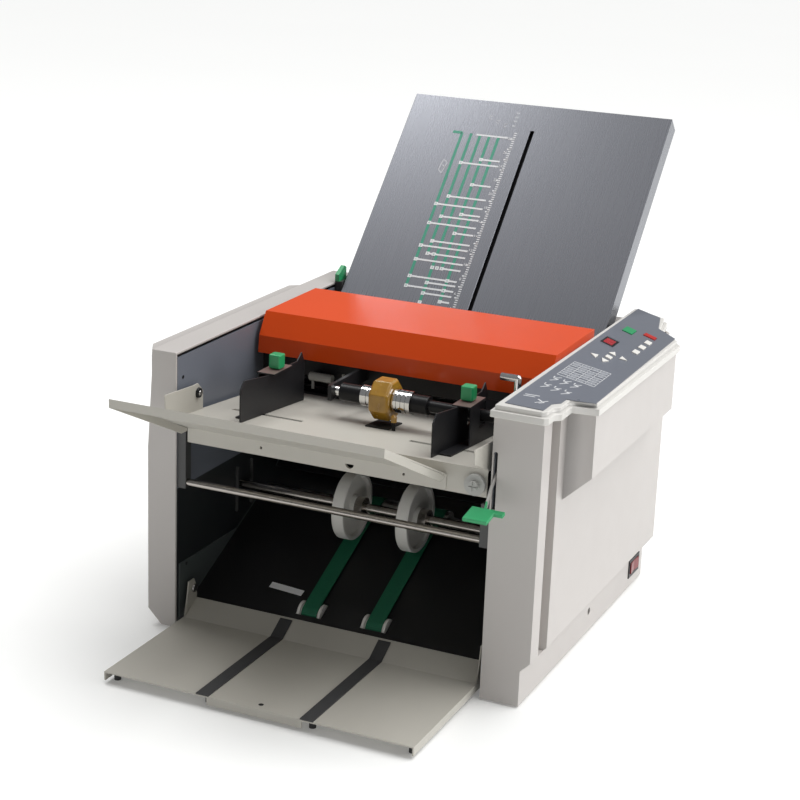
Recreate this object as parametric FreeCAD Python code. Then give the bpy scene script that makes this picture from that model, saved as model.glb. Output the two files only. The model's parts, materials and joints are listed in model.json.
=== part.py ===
import FreeCAD, Part
import math
import os

Vec = FreeCAD.Vector

# All lengths in millimetres: X to the right, Y to the back, Z up, floor at zero.
# Clearances shared by several pieces
overrun = 5.0
curved_gap = 0.3
running_gap = 0.05
sheet = 1.5

# Frame plates, floor plate and feet
inner_half = 175.0
frame_thick = 2.0
wall = 3.0
frame_front = wall
frame_back = 428.0
frame_top_left = 300.0
foot_height = 8.0
foot_radius = 12.0
foot_inset_x = 26.0
foot_front = 60.0
foot_back_inset = 26.0
foot_back = frame_back - foot_back_inset
base_thick = 2.0
base_front = 44.0
bush_thick = 4.0
bush_rim = 4.0

# Right cabinet
cabinet_bottom = 2.0
cabinet_top = 296.0
frame_top_right_drop = 2.0
frame_top_right = cabinet_top - frame_top_right_drop
plinth_width = 41.0
plinth_side = inner_half + plinth_width
plinth_top = 40.0
column_width = 51.0
column_side = inner_half + column_width
cabinet_width = 54.0
cabinet_side = inner_half + cabinet_width
groove_front = 18.0
groove_length = 20.0
groove_back = groove_front + groove_length
groove_depth = 10.5
groove_floor = cabinet_side - groove_depth
groove_foot = 50.0
bulge_front = 55.6
bulge_width = 29.0
bulge_side = cabinet_side + bulge_width
bulge_back = 321.0
bulge_foot_inner = 204.0
bulge_foot_rise = 27.0
bulge_foot_outer = bulge_foot_inner + bulge_foot_rise
bulge_end_run = 36.0
bulge_end = bulge_back + bulge_end_run
side_end_run = 12.0
rear_corner_inset = 10.0
rear_corner_x = cabinet_side - rear_corner_inset
rear_corner_run = 26.5
rear_overlap = 2.5
rear_end = frame_back + rear_overlap
rear_corner_y = rear_end - rear_corner_run
side_end = rear_corner_y - side_end_run
rear_plinth_top = 56.0
rear_plinth_inset = 8.0
lever_slot_gap = 1.4
lever_slot_inner = inner_half + lever_slot_gap
lever_slot_width = 4.2
lever_slot_low = 202.0
lever_slot_high = 261.0
plinth_hole_y = 209.0
plinth_hole_z = 25.4
plinth_hole_radius = 4.0

# Power switch in the plinth
switch_front = 347.0
switch_length = 34.0
switch_low = 15.0
switch_height = 19.0
bezel_rim = 2.5
bezel_proud = 1.2
rocker_gap = 0.4
rocker_depth = 7.0
switch_depth = 14.0

# Lid with a stepped rim, its film and its keys
lid_rim = 7.0
lid_step = cabinet_top + lid_rim
lid_rise = 5.0
lid_top = lid_step + lid_rise
lid_overlap = 3.5
lid_inner = inner_half - lid_overlap
lid_front = 3.5
lid_front_over = 1.0
lid_front_side = cabinet_side + lid_front_over
lid_notch_over = 7.0
lid_notch_side = cabinet_side + lid_notch_over
lid_notch_gap = 2.0
lid_notch_front = groove_front + lid_notch_gap
lid_notch_length = 28.0
lid_notch_back = lid_notch_front + lid_notch_length
lid_side_over = 4.0
lid_side = bulge_side + lid_side_over
lid_side_lead = 3.6
lid_side_front = bulge_front - lid_side_lead
lid_end_y = rear_corner_y + lid_side_over
lid_end_over = 2.0
lid_end_x = rear_corner_x + lid_end_over
lid_back = rear_end + lid_overlap
lid_inset = 3.5
lid_skin = 4.5
film_thick = 0.6
film_inset = 4.0
film_front = 9.1
film_back_gap = 3.6
film_back = lid_back - film_back_gap
key_slant_share = 0.85
key_pocket = 3.2
key_proud = 1.0
key_travel = 0.8
key_gap = 0.3
display_in = 25.7
display_x = lid_inner + display_in
display_y = 274.5
display_width = 18.0
display_length = 28.0
start_in = 29.5
start_x = lid_inner + start_in
start_y = 330.0
start_width = 15.0
start_length = 18.0
stop_out = 33.6
stop_x = lid_side - stop_out
stop_y = 317.6
stop_width = 17.0
stop_length = 9.5
side_key_out = 27.4
side_key_x = lid_side - side_key_out
side_key_rear_y = 291.0
side_key_pitch = 21.0
side_key_width = 8.2
side_key_length = 11.6
pad_out = 46.0
pad_x = lid_side - pad_out
pad_y = 215.0
pad_key = 8.5
arrow_length = 10.0
arrow_width = 11.0
arrow_reach_x = 16.5
arrow_reach_y = 16.0

# Left cover
left_width = 34.0
left_foot_side = inner_half + left_width
left_lean = 5.0
left_top_side = left_foot_side - left_lean
left_head_room = 6.0
left_top = frame_top_left + left_head_room
left_back_inset = 11.0
left_back = frame_back - left_back_inset
left_chamfer = 16.0
left_bulge_width = 36.0
left_bulge_side = left_top_side + left_bulge_width
left_bulge_front = 62.0
left_bulge_back = 330.0
left_bulge_run = 30.0
left_bulge_end = left_bulge_back + left_bulge_run
left_bulge_foot_inner = 185.0
left_bulge_foot_rise = 15.0
left_bulge_foot_outer = left_bulge_foot_inner + left_bulge_foot_rise
left_bulge_drop = 6.0
left_bulge_fall = 15.0
left_bulge_top = left_top - left_bulge_drop
left_bulge_shoulder = left_bulge_top - left_bulge_fall

# Front tie rod, wheel shaft, wheels
rod_y = 8.0
rod_z = 166.0
rod_radius = 4.0
bracket_front = 3.0
bracket_back = 14.0
bracket_low = 160.0
bracket_high = 222.0
bracket_high_right = 205.0
bracket_thick = 10.0
wheel_y = 140.0
wheel_z = 122.0
wheel_shaft_radius = 5.0
wheel_radius = 37.5
wheel_thick = 14.0
wheel_rim = 5.0
wheel_web = 4.0
wheel_hub_radius = 12.0
wheel_x = 37.5
collar_radius = 11.0
collar_length = 9.0

# Transport belts on their pulleys
belt_angle = 25.0
belt_width = 18.0
belt_thick = 1.0
pulley_y = 52.0
pulley_z = 27.0
pulley_radius = 10.0
flange_radius = 12.5
pulley_length = 27.0
flange_thick = 3.0
belt_span = 170.0
pulley_shaft_radius = 4.0
bed_rise = 6.5
bed_front_reach = 16.0
bed_back_reach = 13.0
bed_notch = 30.0
bed_foot = 12.0
bed_lip = 0.5
bed_side_front = 6.0
bed_side_high = 73.0

# Stacker tray, its hinge and its rubber strips
tray_side_gap = 6.0
tray_half = inner_half - tray_side_gap
tray_z = 13.0
tray_front = 147.0
tray_bend_y = 7.0
tray_hinge_y = 26.3
tray_hinge_z = 39.7
tray_ear = 11.0
tray_ear_back = 6.0
tray_flange = 9.5
tray_lip_half = 52.0
tray_lip_drop = 9.0
tray_strip_width = 14.0
tray_strip_x = 57.0
tray_strip_thick = 1.2
tray_strip_back = 29.0
tray_foot = 7.0
hinge_pin_radius = 3.0
table_pivot_y = 34.0
table_pivot_z = 256.0

# Feed table, extension and pad
table_front = 5.0
table_back = 185.0
table_level = 240.0
table_fall_share = 0.09
table_side_gap = 6.5
table_half = inner_half - table_side_gap
table_flange_low = 211.0
table_flange_cut = 5.0
table_flange_left = table_half - table_flange_cut
table_flange_reach = 1.0
table_flange_right = table_half + table_flange_reach
ear_front = 32.0
ear_rise = 14.0
ear_high = table_pivot_z + ear_rise
ear_round = 10.0
extension_inset = 0.5
extension_left = table_flange_left - extension_inset
extension_right_inset = 42.5
extension_right = table_flange_right - extension_right_inset
extension_foot_height = 16.0
extension_foot_lift = 1.0
extension_foot_z = table_flange_low + extension_foot_lift
extension_fold_z = extension_foot_z + extension_foot_height
extension_front = 144.0
extension_rise = 69.0
extension_lip = 9.0
extension_hole_radius = 1.4
extension_hole_large = 4.6
pad_width = 26.0
pad_front = 88.0
pad_back = 124.0
pad_thick = 1.6

# Side guides, their knobs and their rail
guide_x = 106.0
guide_travel_in = 40.0
guide_travel_out = 32.0
guide_front = 12.0
guide_back = 154.0
guide_high = 282.0
guide_chamfer = 8.0
guide_horn_front = 137.0
guide_horn_length = 10.0
guide_horn_tip = guide_horn_front + guide_horn_length
guide_horn_back_high = 269.0
guide_foot_front = 28.0
guide_foot_width = 15.0
guide_wall_front = 76.0
guide_wall_back_high = 262.0
guide_slot_up = 6.0
guide_slot_down = 4.0
guide_slot_gap = 1.0
guide_tongue_y = 63.0
guide_tongue_high = 250.0
knob_size = 13.5
knob_low = 276.0
knob_high = 292.0
knob_y = 96.0
knob_out = 3.5
knob_travel = 1.0
knob_stem_radius = 3.0
clamp_thick = 1.5
clamp_in = 5.5
clamp_out = 15.0
clamp_front = 74.0
clamp_length = 41.0
clamp_back = clamp_front + clamp_length

# Feed shaft and tyre
feed_y = 108.0
feed_z = 259.0
feed_radius = 5.0
tyre_x = 12.0
tyre_width = 22.0
tyre_flats = 42.0
tyre_sides = 8
tyre_chamfer = 2.5
sleeve_left = 38.0
sleeve_left_end = 13.0
sleeve_radius = 9.5
washer_left_radius = 11.0
washer_gap = 1.0
washer_right = tyre_x + tyre_width / 2 + washer_gap
washer_right_length = 20.0
washer_right_radius = 12.5
washer_groove = 2.0
washer_count = 4
hub_right_end = 62.0
hub_radius = 10.0
tube_radius = 6.3
tube_end_gap = 3.0
arm_reach = 12.0
arm_x = sleeve_left + arm_reach
arm_thick = 4.0
arm_low = 250.0
arm_high = 266.5
cross_gap = 3.0
cross_y = table_back + cross_gap
cross_low = 244.0
cross_high = 296.0

# Levers and dial at the front right
lever_stem_gap = 3.5
lever_stem_x = inner_half + lever_stem_gap
lever_stem_thick = 2.0
lever_stem_width = 5.0
lever_angle = 35.0
lever_hub_radius = 8.0
lever_reach = 50.0
lever_hub_length = 5.0
lever_drop = 23.0
lever_drop_angle = 55.0
lever_pad_in = 13.5
lever_pad_inner = lever_stem_x - lever_pad_in
lever_pad_width = 25.0
lever_pad_outer = lever_pad_inner + lever_pad_width
lever_pad_length = 25.0
lever_pad_angle = 9.0
lever_pad_thick = 4.0
lever_tongue_reach = 9.0
lever_tongue_outer = lever_pad_outer + lever_tongue_reach
lever_tongue_length = 7.0
dial_inset = 10.5
dial_x = table_half - dial_inset
dial_z = 223.5
dial_radius = 10.8
dial_thick = 5.0
dial_knob_radius = 5.0
dial_knob_thick = 5.0
press_y = 105.0
press_low = 275.0
press_high = 304.0
press_inset = 17.0
press_x = inner_half - press_inset
press_bar = 18.0
press_end = press_x - press_bar
press_radius = 3.8

# Roller cover and rear beam
cover_side_gap = 5.0
cover_half = inner_half - cover_side_gap
cover_pin_y = 297.0
cover_pin_z = 288.0
cover_pin_radius = 2.5
cover_back_y = 303.0
cover_high = 312.0
cover_front_y = 183.0
cover_mid_y = 168.0
cover_mid_z = 287.0
cover_low_y = 166.5
cover_low_z = 268.0
beam_front = 312.0
beam_depth = 16.0
beam_back = beam_front + beam_depth
beam_drop = 26.0
beam_low = cabinet_top - beam_drop
beam_height = 20.0
beam_high = beam_low + beam_height

# Fold rollers, gears and drive
roller_radius = 15.0
roller_gap = 0.3
roller_y = 285.0
roller_z = 196.0
entry_angle = 120.0
rear_angle = 15.0
exit_angle = -90.0
roller_side_gap = 7.0
roller_half = inner_half - roller_side_gap
journal_radius = 6.0
gear_teeth = 24
gear_gap = 1.0
gear_inner = inner_half + frame_thick + bush_thick + gear_gap
gear_width = 8.0
gear_outer = gear_inner + gear_width
gear_depth = 1.6
gear_play = 0.2
small_pulley = 8.0
feed_pulley = 12.0
motor_drive_pulley = 20.0
belt_space = 4.0
belt_pulley_width = 6.0
near_belt_inner = gear_outer + belt_space
near_belt_outer = near_belt_inner + belt_pulley_width
far_belt_inner = near_belt_outer + belt_space
far_belt_outer = far_belt_inner + belt_pulley_width
belt_inset = 0.8
drive_belt_thick = 1.6
motor_y = 370.0
motor_z = 70.0
motor_radius = 32.0
motor_length = 80.0
motor_shaft_radius = 4.0

# Fold plates with their stops
plate_angle = 46.6
plate_side_gap = 10.5
plate_half = inner_half - plate_side_gap
plate_top_y = 559.0
plate_top_z = 508.0
plate_length = 378.0
plate_sheet = 1.5
plate_pocket = 5.0
plate_flange = 22.0
plate_slot_width = 5.0
plate_pin_radius = 4.0
plate_pin_near = 332.0
plate_pin_far = 300.0
plate_flange_end = 340.0
stop_bar_depth = 10.0
stop_bar_play = 0.2
stop_side_gap = 14.5
stop_half = plate_half - stop_side_gap
pointer_half = 2.0
pointer_proud = 1.5
stop_rest = 296.0
stop_travel = 254.0
low_plate_angle = 20.0
low_plate_flange = 14.0
low_pin_near = 40.0
low_pin_far = 100.0
low_plate_y = 308.0
low_plate_z = 171.0
low_plate_length = 226.0
low_plate_side_gap = 15.0
low_plate_half = inner_half - low_plate_side_gap
low_stop_rest = 60.0
low_stop_travel = 140.0

# Plate lock, rear cover, inlet and electrics
lock_inset = 3.0
lock_x = inner_half - lock_inset
lock_y = 373.0
lock_width = 5.0
lock_length = 20.0
lock_bracket_lead = 9.0
lock_bracket_front = lock_y - lock_bracket_lead
lock_bracket_tail = 26.0
lock_bracket_back = lock_y + lock_bracket_tail
lock_bracket_rise = 11.5
lock_bracket_top = cabinet_top + lock_bracket_rise
lock_rise = 16.5
lock_high = lock_bracket_top + lock_rise
lock_pin_radius = 2.5
rear_thick = 2.0
rear_low = 12.0
rear_flange_front = 392.0
rear_gap_low = 108.0
rear_gap_high = 132.0
inlet_inset = 55.0
inlet_left = inner_half - inlet_inset
inlet_width = 30.0
inlet_right = inlet_left + inlet_width
inlet_low = 30.0
inlet_height = 25.0
inlet_high = inlet_low + inlet_height
inlet_depth = 22.0
inlet_proud = 2.0
supply_front = 60.0
supply_length = 65.0
supply_back = supply_front + supply_length
supply_low = 60.0
supply_height = 110.0
supply_high = supply_low + supply_height
supply_side = plinth_side - wall
board_drop = 5.5
board_low = lid_top - lid_skin - board_drop
board_thick = 2.0
board_front = 190.0
board_length = 110.0
board_back = board_front + board_length
board_inset = 7.0
board_left = inner_half + board_inset
board_width = 40.0
board_right = board_left + board_width
panel_y = 236.0
panel_low = 152.0
panel_high = 216.0
exit_gap = 6.0
exit_back = 258.0
exit_low = 118.0
exit_high = 148.0
lower_guide_front = 192.0
lower_guide_back = 250.0
lower_guide_front_z = 216.0
lower_guide_back_z = 205.0
screw_radius = 4.5
screw_thick = 2.2
screw_slot = 1.0
strip_front_y = 128.0
strip_back_y = 161.0
strip_thick = 3.0
strip_low = 93.0
strip_high = 145.0


def turn(angle):
    return math.cos(math.radians(angle)), math.sin(math.radians(angle))


def box(x0, x1, y0, y1, z0, z1):
    return Part.makeBox(x1 - x0, y1 - y0, z1 - z0, Vec(x0, y0, z0))


def rod(start, end, radius):
    along = Vec(*end) - Vec(*start)
    return Part.makeCylinder(radius, along.Length, Vec(*start), along)


def rod_x(x0, x1, y, z, radius):
    return rod((x0, y, z), (x1, y, z), radius)


def sleeve_x(x0, x1, y, z, radius, bore):
    solid = rod_x(x0, x1, y, z, radius)
    return solid.cut(rod_x(x0 - overrun, x1 + overrun, y, z, bore))


def prism(points, shift):
    face = Part.Face(Part.makePolygon(points + points[:1]))
    return face.extrude(shift)


def prism_x(outline, x0, x1):
    """Outline of (y, z) points swept from x0 to x1."""
    return prism([Vec(x0, y, z) for y, z in outline], Vec(x1 - x0, 0, 0))


def prism_y(outline, y0, y1):
    """Outline of (x, z) points swept from y0 to y1."""
    return prism([Vec(x, y0, z) for x, z in outline], Vec(0, y1 - y0, 0))


def prism_z(outline, z0, z1):
    """Outline of (x, y) points swept from z0 to z1."""
    return prism([Vec(x, y, z0) for x, y in outline], Vec(0, 0, z1 - z0))


def joined(shapes):
    solid = shapes[0]
    for other in shapes[1:]:
        solid = solid.fuse(other)
    return solid.removeSplitter()


def group(shapes):
    return Part.makeCompound(shapes)


def mirrored(shape):
    return shape.mirror(Vec(0, 0, 0), Vec(1, 0, 0))


def strip_along(path, thick):
    """Closed outline of a bent sheet: the path and its copy moved thick to its left."""
    moved = []
    count = len(path)
    for index in range(count):
        before = path[max(index - 1, 0)]
        here = path[index]
        after = path[min(index + 1, count - 1)]
        normals = []
        for a, b in ((before, here), (here, after)):
            size = math.hypot(b[0] - a[0], b[1] - a[1])
            if size:
                normals.append((-(b[1] - a[1]) / size, (b[0] - a[0]) / size))
        nx = sum(n[0] for n in normals)
        ny = sum(n[1] for n in normals)
        reach = nx * normals[0][0] + ny * normals[0][1]
        moved.append((here[0] + nx * thick / reach, here[1] + ny * thick / reach))
    return list(path) + moved[::-1]


def belt(y0, z0, radius0, y1, z1, radius1, x0, x1, thick):
    """Closed loop round two pulleys."""
    gap = math.hypot(y1 - y0, z1 - z0)
    heading = math.atan2(z1 - z0, y1 - y0)

    def loop(extra):
        big0 = radius0 + extra
        big1 = radius1 + extra
        lean = math.acos((big0 - big1) / gap)
        discs = [rod_x(x0, x1, y0, z0, big0), rod_x(x0, x1, y1, z1, big1)]
        corners = []
        for y, z, radius, side in ((y0, z0, big0, 1), (y1, z1, big1, 1), (y1, z1, big1, -1),
                                   (y0, z0, big0, -1)):
            angle = heading + side * lean
            corners.append((y + radius * math.cos(angle), z + radius * math.sin(angle)))
        return joined([prism_x(corners, x0, x1)] + discs)

    return loop(running_gap + thick).cut(loop(running_gap))


def frame_plate(side, top):
    plate = box(inner_half, inner_half + frame_thick, frame_front, frame_back, foot_height, top)
    holes = [
        (wheel_y, wheel_z, wheel_shaft_radius),
        (pulley_y, pulley_z, pulley_shaft_radius),
        (table_pivot_y, table_pivot_z, hinge_pin_radius),
        (tray_hinge_y, tray_hinge_z, hinge_pin_radius),
        (cover_pin_y, cover_pin_z, cover_pin_radius),
        drive_roller_place() + (pulley_shaft_radius,),
    ]
    holes += [place + (journal_radius,) for place in roller_places()]
    if side > 0:
        holes += [(feed_y, feed_z, feed_radius), (motor_y, motor_z, motor_shaft_radius)]
    for y, z, radius in holes:
        ends = (inner_half - overrun, inner_half + frame_thick + overrun)
        plate = plate.cut(rod_x(*ends, y, z, radius + running_gap))
    if side < 0:
        return mirrored(plate)
    return plate


def roller_places():
    """(y, z) of the fold rollers: middle, entry, rear and exit."""
    pitch = 2 * roller_radius + roller_gap
    places = [(roller_y, roller_z)]
    for angle in (entry_angle, rear_angle, exit_angle):
        c, s = turn(angle)
        places.append((roller_y + pitch * c, roller_z + pitch * s))
    return places


def drive_roller_place():
    c, s = turn(belt_angle)
    return (pulley_y + belt_span * c, pulley_z + belt_span * s)


def base_plate():
    return box(-inner_half, inner_half, base_front, frame_back, foot_height, foot_height + base_thick)


def rubber_feet():
    feet = []
    for x in (-inner_half + foot_inset_x, inner_half - foot_inset_x):
        for y in (foot_front, foot_back):
            feet.append(rod((x, y, 0), (x, y, foot_height), foot_radius))
    return group(feet)


def cabinet_solid(skin, inner):
    """Right cabinet filled solid, its walls moved in by skin, from x = inner outwards."""
    side = cabinet_side - skin
    low = cabinet_bottom + skin
    top = cabinet_top + (overrun if skin else 0)
    outline = [
        (inner, skin),
        (column_side - skin, skin),
        (side, groove_back + skin),
        (side, side_end - skin / 2),
        (rear_corner_x - skin / 2, rear_corner_y - skin),
        (inner, rear_end - skin),
    ]
    solid = prism_z(outline, low, top)
    plinth = plinth_side - skin
    flare = [
        (plinth, cabinet_bottom - overrun),
        (plinth, plinth_top + skin),
        (side, plinth_top + skin + side - plinth),
        (side + overrun, plinth_top + skin + side - plinth),
        (side + overrun, cabinet_bottom - overrun),
    ]
    solid = solid.cut(prism_y(flare, -overrun, rear_end + overrun))
    foot_cut = rear_corner_y - rear_plinth_inset - skin
    rear_reach = rear_end + overrun
    solid = solid.cut(box(inner - overrun, side + overrun, foot_cut, rear_reach, low - overrun,
                          rear_plinth_top + skin))
    outer = bulge_side - skin
    bulge = prism_z(
        [
            (side - overrun, bulge_front + skin),
            (outer, bulge_front + skin),
            (outer, bulge_back - skin / 2),
            (side, bulge_end - skin),
            (side - overrun, bulge_end - skin),
        ],
        bulge_foot_inner, top)
    slant = (bulge_foot_outer - bulge_foot_inner) / (bulge_side - cabinet_side)
    foot = bulge_foot_inner + skin * 2
    under = [
        (side - overrun * 2, foot - slant * overrun * 2),
        (outer + overrun, foot + slant * (outer + overrun - side)),
        (outer + overrun, bulge_foot_inner - overrun * 2),
    ]
    bulge = bulge.cut(prism_y(under, 0, rear_end))
    groove = box(groove_floor - skin, side + bulge_side, groove_front - skin, groove_back + skin,
                 groove_foot - skin, top + overrun)
    return solid.fuse(bulge).removeSplitter().cut(groove)


def cabinet_shell():
    shell = cabinet_solid(0, inner_half).cut(cabinet_solid(wall, inner_half - overrun))
    frame_space = box(inner_half - overrun, inner_half + frame_thick, wall, rear_end + overrun,
                      cabinet_bottom - overrun, cabinet_top + overrun)
    shell = shell.cut(frame_space)
    middle = lever_slot_inner + lever_slot_width / 2
    round_z = lever_slot_high - lever_slot_width / 2
    slot = box(lever_slot_inner, lever_slot_inner + lever_slot_width, -overrun, wall + overrun,
               lever_slot_low, round_z)
    slot = slot.fuse(rod((middle, -overrun, round_z), (middle, wall + overrun, round_z),
                         lever_slot_width / 2))
    shell = shell.cut(slot)
    window = box(plinth_side - wall - overrun, plinth_side + overrun, switch_front,
                 switch_front + switch_length,
                 switch_low, switch_low + switch_height)
    shell = shell.cut(window)
    return shell.cut(rod_x(plinth_side - wall - overrun, plinth_side + overrun,
                           plinth_hole_y, plinth_hole_z, plinth_hole_radius))


def switch_bezel():
    """Black frame of the power switch with the switch body behind it."""
    y0 = switch_front
    y1 = switch_front + switch_length
    z0 = switch_low
    z1 = switch_low + switch_height
    rim = box(plinth_side, plinth_side + bezel_proud, y0 - bezel_rim / 2, y1 + bezel_rim / 2,
              z0 - bezel_rim / 2, z1 + bezel_rim / 2)
    body = box(plinth_side - switch_depth, plinth_side, y0, y1, z0, z1)
    well = box(plinth_side - rocker_depth - rocker_gap, plinth_side + bezel_proud + overrun,
               y0 + bezel_rim,
               y1 - bezel_rim, z0 + bezel_rim, z1 - bezel_rim)
    return joined([rim, body]).cut(well)


def rocker():
    """Curved rocker, its face a shallow V about its pivot."""
    y0 = switch_front + bezel_rim + rocker_gap
    y1 = switch_front + switch_length - bezel_rim - rocker_gap
    z0 = switch_low + bezel_rim + rocker_gap
    z1 = switch_low + switch_height - bezel_rim - rocker_gap
    middle = (y0 + y1) / 2
    deep = plinth_side - rocker_depth / 2
    outline = [
        (deep, middle - rocker_depth / 2),
        (plinth_side, y0 + rocker_gap),
        (plinth_side + bezel_proud * 2, y0 + rocker_gap),
        (plinth_side + bezel_proud, middle),
        (plinth_side + bezel_proud * 2, y1 - rocker_gap),
        (plinth_side, y1 - rocker_gap),
        (deep, middle + rocker_depth / 2),
    ]
    return joined([prism_z(outline, z0, z1),
                   rod((deep, middle, z0), (deep, middle, z1), rocker_depth / 2)])


def lid_outline(inset):
    return [
        (lid_inner + inset, -lid_front + inset),
        (column_side - inset, -lid_front + inset),
        (lid_front_side - inset, inset),
        (lid_front_side - inset, lid_notch_front - overrun + inset),
        (lid_notch_side - inset, lid_notch_front + inset),
        (lid_notch_side - inset, lid_notch_back + inset / 2),
        (lid_side - inset, lid_side_front + inset),
        (lid_side - inset, bulge_back - inset / 2),
        (lid_front_side - inset / 2, bulge_end - inset),
        (lid_end_x - inset, lid_end_y - inset / 2),
        (lid_inner + lid_inset + inset, lid_back - inset),
        (lid_inner + inset, lid_back - inset),
    ]


def key_table():
    """(name, x, y, outline about the key's centre) of each key."""
    def block(width, length):
        w = width / 2
        h = length / 2
        return [(-w, -h), (w, -h), (w, h), (-w, h)]

    def arrow(dx, dy):
        reach = arrow_length / 2
        side = arrow_width / 2
        return [(dx * reach, dy * reach), (-dx * reach - dy * side, -dy * reach + dx * side),
                (-dx * reach + dy * side, -dy * reach - dx * side)]

    keys = [
        ("key_start", start_x, start_y, block(start_width, start_length)),
        ("key_stop", stop_x, stop_y, block(stop_width, stop_length)),
    ]
    for index in range(3):
        y = side_key_rear_y - index * side_key_pitch
        keys.append(("key_function_%d" % (index + 1), side_key_x, y,
                     block(side_key_width, side_key_length)))
    keys.append(("key_centre", pad_x, pad_y, block(pad_key, pad_key)))
    for name, dx, dy in (("left", -1, 0), ("right", 1, 0), ("up", 0, 1), ("down", 0, -1)):
        keys.append(("key_" + name, pad_x + dx * arrow_reach_x, pad_y + dy * arrow_reach_y,
                     arrow(dx, dy)))
    return keys


def key_prism(x, y, outline, grow, z0, z1):
    """Key outline sheared to follow the panel's slant, grown by a clearance."""
    size = max(max(abs(u), abs(v)) for u, v in outline)
    factor = (size + grow * 2) / size if grow else 1
    points = [(x + u * factor, y + v * factor - key_slant_share * u * factor) for u, v in outline]
    return prism_z(points, z0, z1)


def key(x, y, outline):
    return key_prism(x, y, outline, 0, lid_top - key_pocket + key_travel + key_gap,
                     lid_top + film_thick + key_proud)


def display_outline():
    w = display_width / 2
    h = display_length / 2
    return [(-w, -h), (w, -h), (w, h), (-w, h)]


def cabinet_lid():
    lower = prism_z(lid_outline(0), cabinet_top, lid_step)
    upper = prism_z(lid_outline(lid_inset), lid_step, lid_top)
    lid = joined([lower, upper])
    lid = lid.cut(prism_z(lid_outline(lid_inset * 2), cabinet_top - overrun, lid_top - lid_skin))
    for name, x, y, outline in key_table():
        lid = lid.cut(key_prism(x, y, outline, key_gap, lid_top - key_pocket, lid_top + overrun))
    return lid.cut(key_prism(display_x, display_y, display_outline(), key_gap / 2, lid_top - key_pocket,
                             lid_top + overrun))


def control_overlay():
    """Printed film on the lid, with a hole over each key and the display."""
    edge = lid_inset + film_inset
    outline = [
        (lid_inner + edge + overrun / 2, film_front),
        (column_side - film_inset, film_front / 2),
        (column_side - film_inset, lid_notch_front + film_inset * 2),
        (lid_front_side - film_inset / 3, lid_notch_back - film_inset * 3),
        (lid_front_side - film_inset / 3, lid_side_front - film_inset / 2),
        (lid_side - film_inset, lid_side_front),
        (lid_side - edge, bulge_back + film_inset),
        (lid_front_side - film_inset, bulge_end),
        (lid_end_x - edge, lid_end_y - film_inset),
        (lid_inner + edge, film_back),
    ]
    film = prism_z(outline, lid_top, lid_top + film_thick)
    for name, x, y, shape in key_table():
        film = film.cut(key_prism(x, y, shape, key_gap, lid_top - overrun, lid_top + overrun))
    film = film.cut(key_prism(display_x, display_y, display_outline(), key_gap / 2, lid_top - overrun,
                              lid_top + overrun))
    glass = key_prism(display_x, display_y, display_outline(), 0, lid_top - key_pocket,
                      lid_top + film_thick)
    return group([film, glass])


def left_solid(skin, inner):
    """Left cover filled solid, its walls moved in by skin, from x = -inner outwards."""
    low = cabinet_bottom + skin
    foot = left_foot_side - skin
    side = left_top_side - skin
    shoulder = left_bulge_foot_outer
    column = prism_y(
        [
            (-inner, low),
            (-foot + left_chamfer, low),
            (-foot, low + left_chamfer),
            (-foot, shoulder),
            (-side, left_bulge_shoulder),
            (-side, left_top - skin),
            (-inner, left_top - skin),
        ],
        skin, left_back - skin)
    outer = left_bulge_side - skin
    bulge = prism_z(
        [
            (-side + overrun, skin),
            (-side, skin),
            (-outer, left_bulge_front + skin / 2),
            (-outer, left_bulge_back - skin / 2),
            (-side, left_bulge_end - skin / 2),
            (-side + overrun, left_bulge_end - skin / 2),
        ],
        left_bulge_foot_inner + skin, left_bulge_top - skin)
    drop = (left_bulge_foot_outer - left_bulge_foot_inner) / (left_bulge_side - left_top_side)
    under = [
        (-side + overrun, left_bulge_foot_inner + skin - drop * overrun),
        (-outer - overrun, left_bulge_foot_outer + skin + drop * overrun),
        (-outer - overrun, left_bulge_foot_inner - overrun),
    ]
    fall = left_bulge_top - left_bulge_shoulder
    over = [
        (-outer + fall, left_bulge_top - skin),
        (-outer - overrun, left_bulge_shoulder - skin - overrun),
        (-outer - overrun, left_bulge_top + overrun),
        (-outer + fall, left_bulge_top + overrun),
    ]
    bulge = bulge.cut(prism_y(under, -overrun, left_back)).cut(prism_y(over, -overrun, left_back))
    return column.fuse(bulge).removeSplitter()


def left_cover():
    cover = left_solid(0, inner_half).cut(left_solid(wall, inner_half - overrun))
    frame_space = box(-inner_half - frame_thick, -inner_half + overrun, wall, left_back + overrun,
                      foot_height, left_top - wall)
    return cover.cut(frame_space)


def rear_cover():
    back = box(-inner_half, inner_half, frame_back, frame_back + rear_thick, rear_low, cabinet_top)
    flange = box(-inner_half, inner_half, rear_flange_front, frame_back, frame_top_right, cabinet_top)
    cover = joined([back, flange])
    cover = cover.cut(box(-low_plate_half - wall, low_plate_half + wall, frame_back - overrun,
                          frame_back + rear_thick + overrun, rear_gap_low, rear_gap_high))
    return cover.cut(box(inlet_left, inlet_right, frame_back - overrun, frame_back + rear_thick + overrun,
                         inlet_low, inlet_high))


def power_inlet():
    back = frame_back + rear_thick
    body = box(inlet_left, inlet_right, back - inlet_depth, back, inlet_low, inlet_high)
    rim = box(inlet_left - wall, inlet_right + wall, back, back + inlet_proud, inlet_low - wall,
              inlet_high + wall)
    well = box(inlet_left + wall, inlet_right - wall, back - inlet_depth + wall, back + overrun,
               inlet_low + wall, inlet_high - wall)
    solid = joined([body, rim]).cut(well)
    middle = (inlet_left + inlet_right) / 2
    pin_z = (inlet_low + inlet_high) / 2
    for shift in (-overrun, 0, overrun):
        pin = box(middle + shift - inlet_proud / 2, middle + shift + inlet_proud / 2,
                  back - inlet_depth + inlet_proud,
                  back - inlet_proud, pin_z - inlet_proud, pin_z + inlet_proud)
        solid = solid.fuse(pin)
    return solid.removeSplitter()


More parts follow.
